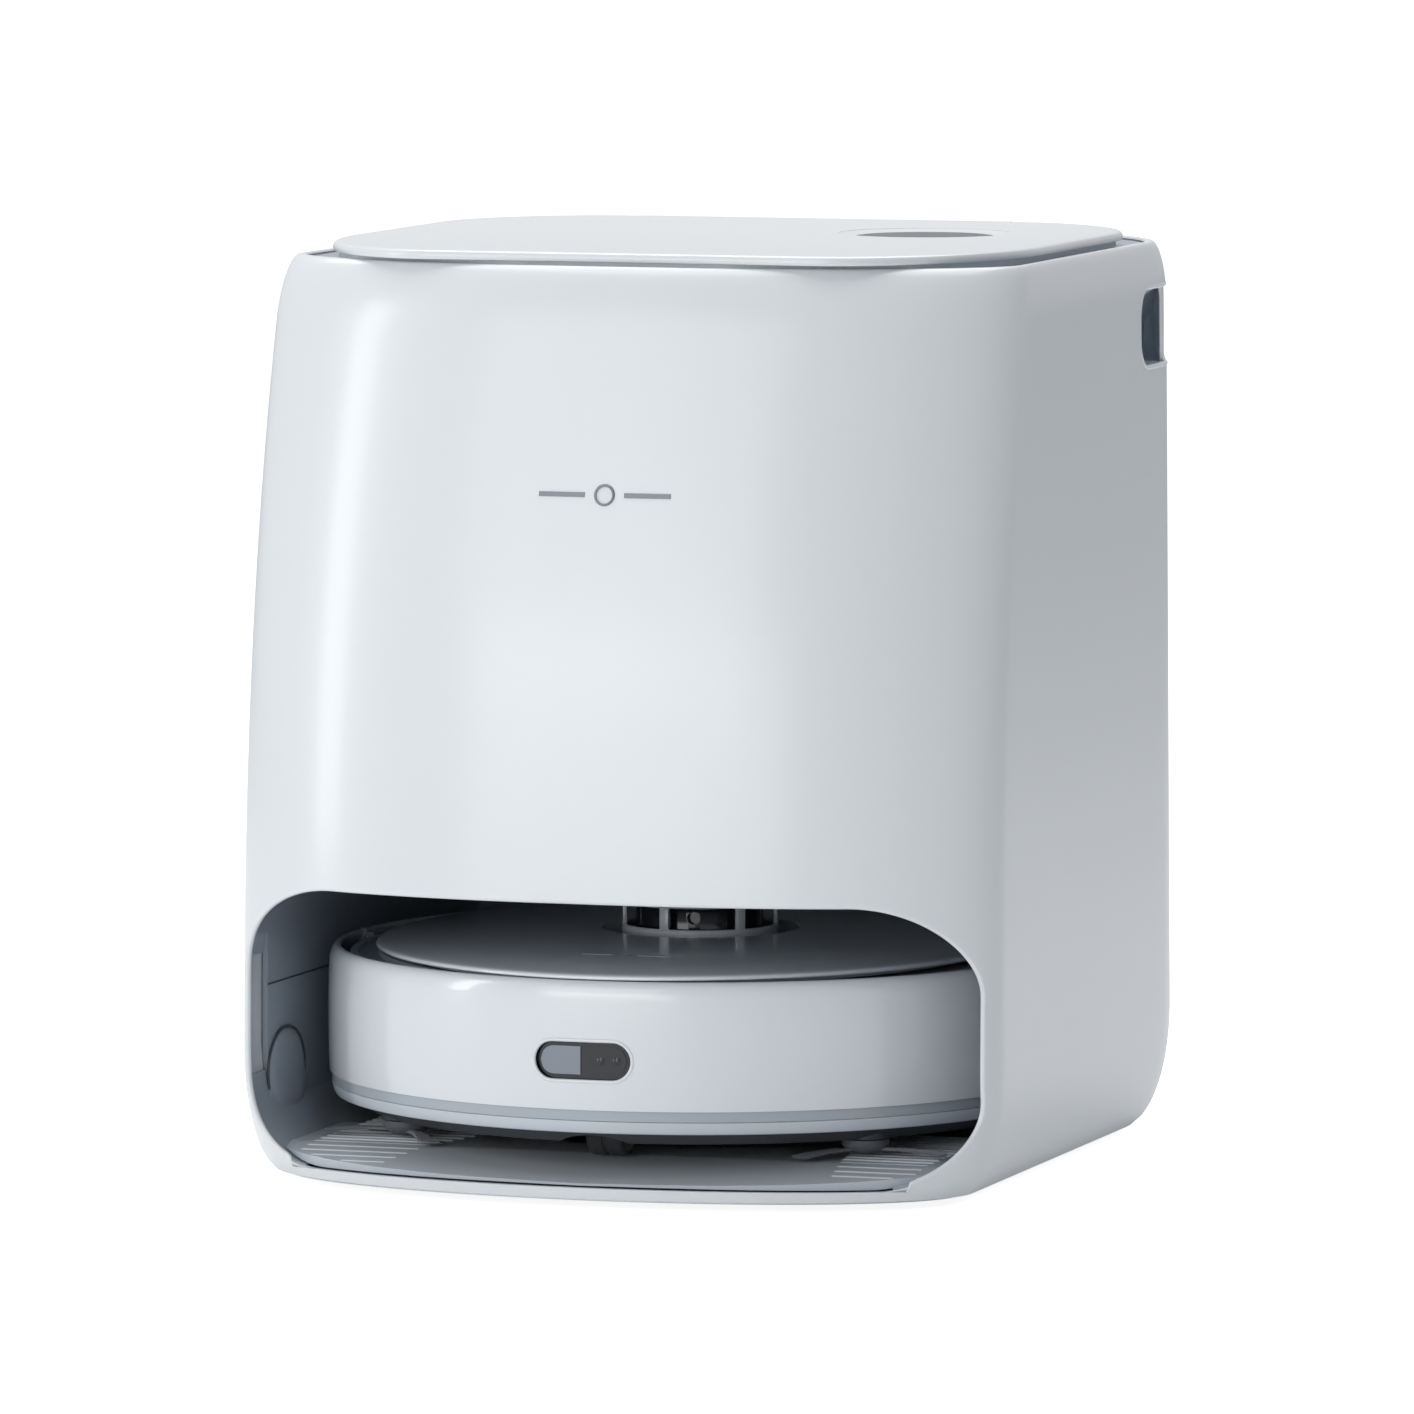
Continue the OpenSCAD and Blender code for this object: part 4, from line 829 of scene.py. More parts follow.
def bay_walls():
    """Side walls of the parking bay, with a ceiling, a back wall and a floor."""
    levels = [bay_floor_z + (bay_top + 1 * mm - bay_floor_z) * i / 30 for i in range(31)]
    rows = [ring(z, lining_t) for z in levels] + [ring(z, liner_inset + 0.1 * mm) for z in reversed(levels)]
    rows.append(rows[0])
    walls = lattice("bay_walls", rows)
    cut(walls, plate("bay_mouth_cutter", opening_outline(-1 * mm), -0.3, front_cut_y, "y"))
    cut(walls, block("bay_rear_cutter", (-0.3, liner_hi.y, -0.1), (0.3, 0.4, 0.4)))
    placed(smooth(walls, 30), "station", "bay_grey", stands_for=["bay_liner"])
    outline = [(p.x, min(p.y, liner_hi.y)) for p in ring(bay_top, lining_t - 0.6 * mm)[:-1]]
    ceiling = plate("bay_ceiling", outline, bay_top, liner_hi.z)
    cut(ceiling, plate("bay_mouth_cutter", opening_outline(-1 * mm), -0.3, front_cut_y, "y"))
    placed(smooth(ceiling), "station", "bay_grey")
    outline = [(p.x, min(p.y, liner_hi.y)) for p in ring(bay_floor_z + 1 * mm, lining_t - 0.6 * mm)[:-1]]
    placed(smooth(plate("bay_floor", outline, bay_floor_z, bay_floor_z + 1.6 * mm)), "station", "bay_grey")
    heights = [bay_floor_z + (bay_top - bay_floor_z) * i / 30 for i in range(31)]
    right = [(wall_x(liner_hi.y, z, lining_t) + 1 * mm, z) for z in heights]
    back = plate("bay_back_wall", right + [(-x, z) for x, z in reversed(right)], bay_back, liner_hi.y, "y")
    for x in (-22 * mm, 22 * mm):
        cut(back, block("contact_cutter", (x - 7.5 * mm, bay_back - 9 * mm, 51.5 * mm),
            (x + 7.5 * mm, liner_hi.y + 9 * mm, 60.5 * mm)))
    for i in range(9):
        cut(back, block("air_cutter", ((i - 4) * 14 * mm - 4.5 * mm, bay_back - 9 * mm, 112 * mm),
                        ((i - 4) * 14 * mm + 4.5 * mm, bay_back + 1.4 * mm, 116 * mm)))
    placed(smooth(soften(back, 0.5 * mm, 2, 40), 30), "station", "bay_grey")


def bay_coves():
    """Rounded coves where the bay's walls meet its floor; they carry the opening's lower corners inwards."""
    for side, name in ((-1, "left_cove"), (1, "right_cove")):
        corner = arc(opening_hw - sill_round[0], sill_h + sill_round[1], sill_round[0], sill_round[1],
            -78, -2, 24)
        rows = []
        for i in range(61):
            y = -half_deep + 9 * mm + (bay_back - 4 * mm + half_deep - 9 * mm) * i / 60
            inside = [(min(x, wall_x(max(y, 0), z, lining_t - 1 * mm)), z) for x, z in corner]
            rows.append([Vector((side * x, max(y, face_y(x, z) + 2.2 * mm), z)) for x, z in inside])
        cove = lattice(name, rows)
        apply(cove, "SOLIDIFY", thickness=1.2 * mm, offset=-side)
        placed(smooth(cove, 60), "station", "bay_grey")


def guide_pads():
    """Low oval pads that steer the robot, one on each side wall."""
    along, up, rise = 24 * mm, 19 * mm, 2.0 * mm
    pad_y, pad_z = -102 * mm, 46 * mm
    for side, name in ((-1, "left_guide_pad"), (1, "right_guide_pad")):
        rows = []
        for k in (0.02, 0.2, 0.4, 0.6, 0.75, 0.86, 0.93, 0.97, 1.0, 1.02):
            bulge = rise * (1 - max(0.0, (k - 0.72) / 0.3) ** 2.2) if k < 1.02 else -0.8 * mm
            row = []
            for i in range(65):
                a = 2 * pi * i / 64
                y = pad_y + along * k * math.copysign(abs(math.cos(a)) ** 0.85, math.cos(a))
                z = pad_z + up * k * math.copysign(abs(math.sin(a)) ** 0.85, math.sin(a))
                row.append(Vector((side * (wall_x(y, z, lining_t) - bulge), y, z)))
            rows.append(row)
        rows.insert(0, [Vector((side * (wall_x(pad_y, pad_z, lining_t) - rise), pad_y, pad_z))] * 65)
        pad = lattice(name, rows)
        placed(smooth(pad, 50), "station", "bay_grey")
        rim = [Vector((side * (wall_x(pad_y + (along + 0.8 * mm) * math.cos(a), pad_z,
            lining_t) - 0.1 * mm),
                       pad_y + (along + 0.8 * mm) * math.cos(a), pad_z + (up + 0.8 * mm) * math.sin(a)))
               for a in [2 * pi * i / 72 for i in range(72)]]
        placed(smooth(bead(name + "_seam", rim, 0.7 * mm, sides=8), 60), "station", "band_grey", seam_dark)
        low = [Vector((side * (wall_x(y, z, lining_t) - 0.15 * mm), y, z)) for y, z in
               arc(pad_y + 46 * mm, pad_z + 3 * mm, 62 * mm, 36 * mm, 232, 290, 24)]
        placed(smooth(bead(name + "_swage", low, 0.7 * mm, closed=False, sides=8), 60), "station",
            "band_grey", seam_dark)
        line = [Vector((side * (wall_x(y, 88 * mm, lining_t) - 0.1 * mm), y, 88 * mm))
                for y in [-126 * mm + 6 * mm * i for i in range(40)]]
        placed(smooth(bead(name + "_wall_seam", line, 0.45 * mm, closed=False, sides=8), 60), "station",
            "band_grey", seam_dark)


ramp_front = tray_lo.y
dock_floor = tray_hi.z
ramp_low = tray_lo.z + 1.4 * mm
ramp_run = 57 * mm
track_x, track_w = 127 * mm, 46 * mm
basin_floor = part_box("washboards")[0].z
mop_spots = [(s * 64 * mm, robot_y + 82 * mm) for s in (-1, 1)]


def ramp_height(y):
    u = min(1.0, max(0.0, (y - ramp_front) / ramp_run))
    return ramp_low + (dock_floor - ramp_low) * (u * 0.92 + 0.08 * math.sin(pi * u / 2))


def crest_y(x):
    """Wavy edge between the smooth apron and the sunken floor behind it."""
    return -110 * mm + 37 * mm * min(1.0,
        abs(x) / (116 * mm)) ** 2 - 2.5 * mm * math.sin(abs(x) / (15 * mm))


def tray_floor(x, y):
    behind = y - crest_y(x)
    if behind <= 0:
        return ramp_height(y) - 0.3 * mm
    sink = min(1.0, behind / (5 * mm))
    return ramp_height(y) - 0.3 * mm - 2.6 * mm * sink * sink * (3 - 2 * sink)


def wash_tray():
    rows = []
    depth = [ramp_front + (tray_hi.y - ramp_front) * i / 170 for i in range(171)]
    for y in depth:
        reach = wall_x(max(y, ramp_front + 0.2 * mm), 12 * mm, lining_t + 1.6 * mm)
        rows.append([Vector((reach * (i / 60 - 1), y, 0)) for i in range(121)])
    for row in rows:
        for point in row:
            point.z = tray_floor(point.x, point.y)
    tray = lattice("wash_tray_deck", rows)
    edit(tray, "FACE")
    bpy.ops.mesh.select_all(action="SELECT")
    bpy.ops.mesh.extrude_region_move(TRANSFORM_OT_translate={"value": (0, 0, -8 * mm)})
    done()
    tidy_mesh(tray)
    cut(tray, plate("tray_section", opening_outline(0.6 * mm), -0.3, 0.3, "y"), "INTERSECT")
    cut(tray, block("tray_base", (-0.3, -0.3, tray_lo.z), (0.3, 0.3, 0.1)), "INTERSECT")
    for x, y in mop_spots:
        well = turned("basin_cutter", [(5.5 * mm, 40 * mm), (62 * mm, 40 * mm),
            (62 * mm, basin_floor + 3 * mm),
                                       (61 * mm, basin_floor + 0.8 * mm), (59 * mm, basin_floor),
                                       (6.5 * mm, basin_floor),
                                       (5.5 * mm, basin_floor + 1 * mm), (5.5 * mm, 40 * mm)], (x, y), 80)
        cut(tray, well)
    placed(smooth(tray, 32), "wash_tray", "tray_grey", stands_for=["wash_tray"])


def tray_ribs():
    """Grip ribs on the two wheel tracks; their inner ends are rounded and step along a slant."""
    for side, name in ((-1, "left_track_ribs"), (1, "right_track_ribs")):
        made = []
        for i in range(18):
            y = ramp_front + 5.7 * mm + i * 9 * mm
            top = ramp_height(y)
            step = min(i, 11)
            inner = (115 * mm - step * 1.4 * mm) if side > 0 else (106 * mm - step * 2.4 * mm)
            outer = min(track_x + track_w / 2, opening_hw - sill_round[0] + 27 * mm,
                        wall_x(y, 14 * mm, lining_t + 4 * mm))
            if outer - inner < 12 * mm:
                continue
            rib = block("rib", (side * inner if side > 0 else -outer, y - 1.9 * mm, top - 4 * mm),
                        (outer if side > 0 else -inner, y + 1.9 * mm,
                        top + 0.35 * mm if y > -0.14 else top), 1.4 * mm, 3)
            made.append(rib)
        ribs = join(name, *made)
        placed(smooth(ribs, 50), "wash_tray", "board_grey")


def wash_boards():
    """Scrubbing plates with slanted ribs, one under each mop."""
    top = dock_floor
    for (x, y), name in zip(mop_spots, ("left_wash_board", "right_wash_board")):
        board = turned(name, [(5.4 * mm, basin_floor), (5.4 * mm, top - 2.6 * mm), (7 * mm, top - 2.2 * mm),
                              (50 * mm, top - 2.2 * mm), (52 * mm, top - 1.5 * mm),
                              (53.4 * mm, top - 1.7 * mm),
                              (54 * mm, top - 2.6 * mm), (54 * mm, basin_floor), (5.4 * mm, basin_floor)],
                              (x, y), 80)
        made = [board]
        for i in range(12):
            bar = block("scrub_bar", (x + 12 * mm, y - 1.6 * mm, basin_floor + 1 * mm),
                (x + 49 * mm, y + 1.6 * mm, top - 0.05 * mm),
                        1.1 * mm, 3)
            only(bar)
            bpy.ops.object.mode_set(mode="EDIT")
            bpy.ops.mesh.select_all(action="SELECT")
            bpy.ops.transform.rotate(value=math.radians(i * 30 + 8), orient_axis="Z",
                center_override=(x, y, top))
            done()
            made.append(bar)
        placed(smooth(join(name, *made), 40), "wash_tray", "board_grey")
    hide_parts("washboards")


def hand_grips():
    """Pockets behind the side openings: a sloping top inside, and a thin pale rim round the mouth."""
    mid_y, mid_z, length, height, depth = 130 * mm, 388.5 * mm, 76 * mm, 38 * mm, 21 * mm
    outline = spread(rounded_rect(mid_y, mid_z, length, height, 14 * mm, 8), 6 * mm)
    for side, name in ((-1, "left_grip_pocket"), (1, "right_grip_pocket")):
        def out(y, z, t=0.0):
            return wall_x(y, z, t)
        rows = []
        for k, inset in ((0.0, 0.0), (0.25, 0.1), (0.5, 0.35), (0.75, 0.7), (0.92, 1.2), (1.0, 2.6)):
            row = []
            for y, z in outline + outline[:1]:
                slope = 9 * mm * k if z > mid_z + 6 * mm else 0
                towards = (y - mid_y) / (length / 2), (z - mid_z) / (height / 2)
                yy, zz = y - towards[0] * inset * mm, z - towards[1] * inset * mm - slope
                start = out(y, z, 1.2 * mm)
                inside = half_wide - 2 * mm - depth
                row.append(Vector((side * (start + (inside - start) * k), yy, zz)))
            rows.append(row)
        middle = Vector((side * (half_wide - 2 * mm - depth), mid_y, mid_z - 3 * mm))
        rows.append([middle] * len(rows[0]))
        pocket = lattice(name, rows)
        apply(pocket, "SOLIDIFY", thickness=1.5 * mm, offset=1)
        placed(smooth(pocket, 40), "station", "dark_base", grip_shade)
        rim = [Vector((side * (out(y, z, 0.9 * mm)), y, z)) for y, z in outline]
        placed(smooth(bead(name + "_rim", rim, 1.25 * mm, sides=12), 60), "station", "shell")
    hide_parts("handle_cups")


bay_walls()
bay_coves()
guide_pads()
wash_tray()
tray_ribs()
wash_boards()
hand_grips()

# ---------- Robot: band, skirt, deck, cover, turret and camera ----------


def band_profile(low):
    """Outer band of the robot: gently bulged, with a soft rolled top."""
    inner = robot_r - 4 * mm
    side = [(robot_r - 1.5 * mm * abs((z - 70 * mm) / (36 * mm)) ** 3, z) for z in
            [low + (94.5 * mm - low) * i / 16 for i in range(17)]]
    foot = [(inner, low + 2 * mm), (inner, low + 0.6 * mm), (side[0][0] - 1 * mm, low)]
    shoulder = side[-1][0]
    roll = arc(shoulder - 4.2 * mm, 94.5 * mm, 4.2 * mm, band_top - 94.5 * mm, 8, 90, 10)
    inside = [(robot_r - 5.6 * mm, band_top - 0.2 * mm), (robot_r - 6 * mm, band_top - 0.8 * mm),
              (robot_r - 5.8 * mm, band_top - 3 * mm), (inner, 96 * mm), (inner, low + 2 * mm)]
    return foot + side + roll + inside


def half_of(piece, front):
    """Keeps the front or the rear part of a ring and closes its cut ends."""
    level = bumper_hi.y + (0 if front else split_gap)
    edit(piece)
    bpy.ops.mesh.select_all(action="SELECT")
    bpy.ops.mesh.bisect(plane_co=(0, level, 0), plane_no=(0, 1, 0), use_fill=True, clear_outer=front,
        clear_inner=not front)
    done()
    return piece


band_low = 44 * mm
split_gap = 4.4 * mm
camera_z = (window_lo.z + window_hi.z) / 2
camera_w, camera_h = 46 * mm, 17.4 * mm


def pill(w, h, steps=16):
    r = h / 2
    return (arc(w / 2 - r, camera_z, r, r, -90, 90, steps) + arc(-w / 2 + r, camera_z, r, r, 90, 270,
        steps))


def on_band(x, z, out=0.0):
    radius = robot_r + out
    return Vector((x, robot_y - math.sqrt(radius ** 2 - x ** 2), z))


def robot_band():
    here = (0, robot_y)
    for front, name, body, slot, node_name in ((True, "front_band", "bumper", "robot_white",
        "bumper_shell"),
                                               (False, "rear_band", "robot", "robot_white",
                                               "upper_housing")):
        band = half_of(turned(name, band_profile(band_low), here, 240), front)
        if front:
            cut(band, plate("camera_cutter", pill(camera_w + 2.4 * mm, camera_h + 2.4 * mm),
                robot_y - 0.2, robot_y, "y"))
        else:
            for x in (-22 * mm, 22 * mm):
                cut(band, block("contact_cutter", (x - 7 * mm, robot_y + 0.1, 52 * mm),
                    (x + 7 * mm, robot_y + 0.3, 60 * mm)))
        placed(smooth(band, 32), body, slot, stands_for=[node_name])
        for label, finish, profile in (
                ("upper", skirt_dark, [(-4.2, 44.4), (-1.7, 44.4), (-1.75, 43.9), (-1.75, 39.2),
                (-2.1, 38.9), (-4.2, 38.9), (-4.2, 44.4)]),
                ("lower", skirt_light, [(-4.2, 38.8), (-1.9, 38.8), (-1.7, 38.5), (-1.8, 37.2),
                (-2.3, 35.2), (-3.2, 33.5),
                                        (-4.2, 33.05), (-4.2, 38.8)])):
            skirt = turned(f"{name}_{label}_skirt", [(robot_r + r * mm, z * mm) for r, z in profile],
                here, 240)
            placed(smooth(half_of(skirt, front), 32), body, slot, finish)


def camera():
    """The camera's recess in the front band: rim, black bezel, and a window with a pale and a dark part."""
    rim = [on_band(x, z, -0.5 * mm) for x, z in spread(pill(camera_w + 1.6 * mm, camera_h + 1.6 * mm, 24),
        3 * mm)]
    placed(smooth(bead("camera_rim", rim, 0.95 * mm, sides=12), 60), "bumper", "robot_white")

    def glass(name, x0, x1, h, out, deep, finish):
        rows = []
        for k in range(19):
            u = k / 18
            row = []
            for i in range(9):
                v = i / 8 * 2 - 1
                x = x0 + (x1 - x0) * u
                r = h / 2
                far = max(0.0, abs(x) - (camera_w / 2 - camera_h / 2))
                reach = math.sqrt(max(0.0, 1 - min(1.0, far / r) ** 2)) * r if far > 0 else r
                row.append(on_band(x, camera_z + v * reach, out))
            rows.append(row)
        made = lattice(name, rows)
        apply(made, "SOLIDIFY", thickness=deep, offset=-1)
        return placed(smooth(made, 40), "bumper", "sensor_black", finish)

    half = camera_w / 2
    glass("camera_bezel_plate", -half, half, camera_h, -2.4 * mm, 1.2 * mm, finishes["sensor_black"])
    inset = 2.2 * mm
    glass("camera_pale_window", -half + inset, -1.2 * mm, camera_h - 2 * inset, -1.8 * mm, 0.4 * mm,
        glass_grey)
    glass("camera_dark_window", -0.6 * mm, half - inset, camera_h - 2 * inset, -1.9 * mm, 0.4 * mm,
        finishes["sensor_black"])
    for x, name in ((8.5 * mm, "camera_lens_inner"), (16 * mm, "camera_lens_outer")):
        spot = on_band(x, camera_z, -1.7 * mm)
        lens = turned(name, [(0.01 * mm, 1.1 * mm), (1.6 * mm, 0.8 * mm), (2.6 * mm, 0.1 * mm),
            (3.0 * mm, 0.3 * mm),
                             (3.4 * mm, 0.2 * mm), (3.4 * mm, -0.8 * mm), (0.01 * mm, -0.8 * mm),
                             (0.01 * mm, 1.1 * mm)], steps=40)
        lens.rotation_euler = (pi / 2, 0, 0)
        lens.location = spot + Vector((0, 0.8 * mm, 0))
        placed(smooth(settle(lens), 40), "bumper", "sensor_black")
    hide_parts("camera_bezel")
    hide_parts("camera_window")


def robot_deck():
    """Ledge round the cover with a crescent groove, and the recess that the turret stands in; its grey is painted
    shade on the sunken white ledge.
    """
    edge = 164.6 * mm
    top = deck_z
    deck = turned("robot_deck", [(33 * mm, top - 3 * mm), (33 * mm, top), (60 * mm, top), (140 * mm, top),
                                 (150.5 * mm, top), (151.5 * mm, top - 1.6 * mm),
                                 (156 * mm, top - 2.1 * mm),
                                 (160 * mm, top - 1.6 * mm), (161 * mm, top - 0.2 * mm), (162 * mm, top),
                                 (edge - 0.6 * mm, top),
                                 (edge, top - 0.5 * mm), (edge, top - 3 * mm), (33 * mm, top - 3 * mm)],
                                 (0, robot_y), 180)
    cut(deck, rod("button_bore", (0, robot_y - 70 * mm, top), 8.4 * mm, 20 * mm, "z", 48))
    # The deck gets the grey finish: painted shade on the white ledge.
    placed(smooth(deck, 30), "robot", "robot_white", deck_shade_finish)
    apron = turned("rear_deck_edge", [(edge + 0.1 * mm, top - 3 * mm), (edge + 0.1 * mm, top + 0.6 * mm),
        (edge + 0.8 * mm, top + 1.2 * mm),
                                      (robot_r - 5.9 * mm, top + 1.6 * mm),
                                      (robot_r - 5.9 * mm, top - 3 * mm),
                                      (edge + 0.1 * mm, top - 3 * mm)], (0, robot_y), 240)
    # The rear deck edge carries the same painted shade.
    placed(smooth(half_of(apron, False), 40), "robot", "robot_white", deck_shade_finish)


cover_w, cover_d = cover_hi.x, (cover_hi.y - cover_lo.y) / 2
cover_low = 103.7 * mm
well_r = 46 * mm


def robot_cover():
    """Lift-off cover: an oval dome with a rolled rim and a round hole for the turret."""
    def spot(k, t, z, a):
        ex, ey = (cover_w - t) * math.cos(a), (cover_d - t) * math.sin(a)
        cx, cy = well_r * math.cos(a), well_r * math.sin(a)
        return Vector((cx + (ex - cx) * k, robot_y + cy + (ey - cy) * k, z))

    def dome(k):
        r = (well_r + (cover_d - well_r) * k) / cover_d
        return cover_low + 2.2 * mm + 5 * mm * (1 - r ** 2)

    turns = [2 * pi * i / 144 for i in range(145)]
    rows = [[spot(0, 0, z, a) + Vector((s * math.cos(a), s * math.sin(a), 0)) for a in turns]
            for s, z in ((0.0, cover_low - 2.5 * mm), (0.0, dome(0) - 1.2 * mm),
                (0.25 * mm, dome(0) - 0.45 * mm), (0.9 * mm, dome(0) - 0.1 * mm))]
    rows += [[spot(k, 0, dome(k), a) for a in turns] for k in [0.03 + 0.94 * i / 22 for i in range(23)]]
    for t, z in ((1.0, 2.05), (0.45, 1.75), (0.12, 1.3), (0.0, 0.8), (0.2, 0.3), (0.7, 0.03), (1.6, 0.0),
        (11, 0.0),
                 (11.2, -2.6), (13.4, -2.6), (13.6, 0.0)):
        rows.append([spot(1, t * mm, cover_low + z * mm, a) for a in turns])
    rows.append([spot(0, 0, cover_low - 2.5 * mm, a) + Vector((2.4 * mm * math.cos(a),
        2.4 * mm * math.sin(a), 0)) for a in turns])
    rows.append(rows[0])
    cover = lattice("robot_cover", rows)
    placed(smooth(cover, 40), "cover", "robot_white", stands_for=["top_cover"])


turret_r = (cage_hi.x - cage_lo.x) / 2
turret_top = cage_hi.z
window_low = turret_top - 12.4 * mm


def turret():
    """Laser turret: flared base ring, six posts and a shallow cap round the black scanner head."""
    here = (0, robot_y)
    base = turned("turret_base", [(turret_r - 2.6 * mm, deck_z + 0.1 * mm),
        (turret_r + 4.5 * mm, deck_z + 0.1 * mm),
                                  (turret_r + 4.5 * mm, deck_z + 0.9 * mm),
                                  (turret_r + 1.8 * mm, deck_z + 1.6 * mm),
                                  (turret_r + 0.5 * mm, deck_z + 3.4 * mm), (turret_r, deck_z + 6 * mm),
                                  (turret_r, window_low - 0.7 * mm),
                                  (turret_r - 0.5 * mm, window_low - 0.1 * mm),
                                  (turret_r - 1.3 * mm, window_low),
                                  (turret_r - 2.4 * mm, window_low - 0.8 * mm),
                                  (turret_r - 2.6 * mm, deck_z + 0.1 * mm)], here, 120)
    placed(smooth(base, 35), "robot", "robot_white", stands_for=["lidar_cage"])
    high = turret_top - 2.4 * mm
    cap = turned("turret_cap", [(0.01 * mm, turret_top), (20 * mm, turret_top - 0.02 * mm),
        (turret_r - 4 * mm, turret_top - 0.12 * mm),
                                (turret_r - 1.8 * mm, turret_top - 0.45 * mm),
                                (turret_r - 0.5 * mm, turret_top - 1.1 * mm),
                                (turret_r, turret_top - 1.9 * mm), (turret_r - 0.4 * mm, high),
                                (turret_r - 2 * mm, high),
                                (0.01 * mm, high), (0.01 * mm, turret_top)], here, 120)
    placed(smooth(cap, 30), "robot", "robot_white")
    posts = []
    for i in range(6):
        post = block("post", (turret_r - 2.6 * mm, -2.4 * mm, window_low - 1 * mm),
            (turret_r - 0.5 * mm, 2.4 * mm, high + 0.4 * mm), 0.6 * mm, 2)
        edit(post)
        bpy.ops.mesh.select_all(action="SELECT")
        bpy.ops.transform.rotate(value=-math.radians(20 + 60 * i), orient_axis="Z",
            center_override=(0, 0, 0))
        bpy.ops.transform.translate(value=(0, robot_y, 0))
        done()
        posts.append(post)
    placed(smooth(join("turret_posts", *posts), 40), "robot", "robot_white")
    head_lo, head_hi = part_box("lidar_head")
    head_r = (head_hi.x - head_lo.x) / 2
    head = turned("scanner_head", [(0.01 * mm, head_hi.z), (head_r - 2 * mm, head_hi.z),
        (head_r - 0.6 * mm, head_hi.z - 0.5 * mm),
                                   (head_r, head_hi.z - 1.6 * mm), (head_r, head_lo.z + 8 * mm),
                                   (head_r - 0.8 * mm, head_lo.z + 7 * mm),
                                   (5 * mm, head_lo.z + 6.6 * mm), (5 * mm, head_lo.z),
                                   (0.01 * mm, head_lo.z), (0.01 * mm, head_hi.z)], here, 80)
    for a in (-12, 12):
        eye = rod("eye_cutter", (head_r * math.sin(math.radians(a)),
            robot_y - head_r * math.cos(math.radians(a)), (window_low + high) / 2),
                  3 * mm, 4 * mm, "y", 24)
        cut(head, eye)
    placed(smooth(head, 30), "laser_head", "sensor_black", stands_for=["lidar_head"])


robot_band()
camera()
robot_deck()
robot_cover()
turret()

# ---------- Robot underside, mops, brushes and wheels ----------


def lay_on_side(piece, middle):
    """Turns a shape made round the z axis so that it runs along x, at its own place."""
    piece.rotation_euler = (0, pi / 2, 0)
    piece.location = middle
    return settle(piece)


def middle_of(node_name):
    low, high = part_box(node_name)
    return (low + high) / 2, (high - low) / 2


def mop(side):
    """Crowned pad of looped fibre with raised scrubbing stripes under a ribbed plate."""
    centre, half = middle_of(f"{side}_mop_pad")
    low, high, r = centre.z - half.z, centre.z + half.z, half.x
    stripe_count, steps = 6, 120
    turns = [2 * pi * i / steps for i in range(steps + 1)]

    def point(k, z, a):
        return Vector((centre.x + r * k * math.cos(a), centre.y + r * k * math.sin(a), z))

    under = [(k, low + 0.5 * mm + 2.2 * mm * max(0.0,
        (k - 0.86) / 0.14) ** 3) for k in [0.02 + 0.96 * i / 30 for i in range(31)]]
    rows = [[point(k, z + 0.12 * mm * math.sin(9 * a + 14 * k), a) for a in turns] for k, z in under]
    rows += [[point(k, low + z * mm, a) for a in turns] for k,
        z in ((0.995, 3.0), (1.0, 3.8), (0.995, 4.6), (0.98, 5.4), (0.95, 5.85),
                                                                   (0.90, 6.0), (0.5, 6.0), (0.02, 6.0))]
    rows = [[point(0, low + 0.5 * mm, 0)] * (steps + 1)] + rows + [[point(0, high, 0)] * (steps + 1)]
    pad = lattice(f"{side}_mop_pad_cloth", rows)
    placed(smooth(pad, 60), f"{side}_mop", "mop_fabric", stands_for=[f"{side}_mop_pad"])
    stripes = []
    for i in range(stripe_count):
        aim = 2 * pi * i / stripe_count
        strip = []
        for j in range(15):
            k = 0.16 + 0.72 * j / 14
            wide = 0.105 * math.sin(pi * (0.12 + 0.76 * j / 14))
            bend = aim + 0.35 * k
            strip.append([point(k, low + z * mm, bend + s * wide / k * 0.55) for s, z in
                          ((-1, 0.9), (-1, 0.35), (-0.7, 0.08), (0, 0.0), (0.7, 0.08), (1, 0.35),
                              (1, 0.9), (-1, 0.9))])
        ends = [[sum(row[:-1], Vector()) / (len(row) - 1)] * len(row) for row in (strip[0], strip[-1])]
        stripes.append(lattice("stripe", [ends[0]] + strip + [ends[1]]))
    stripes = join(f"{side}_mop_stripes", *stripes)
    placed(smooth(stripes, 60), f"{side}_mop", "mop_fabric", stripe_fabric)
    plate_lo, plate_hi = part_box(f"{side}_mop_plate")
    plate_r = (plate_hi.x - plate_lo.x) / 2
    base = plate_lo.z
    disc = turned(f"{side}_mop_plate_disc", [(0.01 * mm, base), (plate_r - 0.6 * mm, base),
        (plate_r, base + 0.6 * mm),
                                             (plate_r, base + 1.6 * mm),
                                             (plate_r - 0.8 * mm, base + 2.4 * mm),
                                             (16 * mm, base + 2.6 * mm),
                                             (13 * mm, base + 2.4 * mm), (9 * mm, base + 2.4 * mm),
                                             (4.2 * mm, base + 2.9 * mm),
                                             (4 * mm, base + 3.6 * mm), (4 * mm, plate_hi.z - 0.8 * mm),
                                             (3.2 * mm, plate_hi.z), (0.01 * mm, plate_hi.z),
                                             (0.01 * mm, base)],
                  (centre.x, centre.y), 96)
    placed(smooth(disc, 35), f"{side}_mop", "hub_grey", stands_for=[f"{side}_mop_plate"])


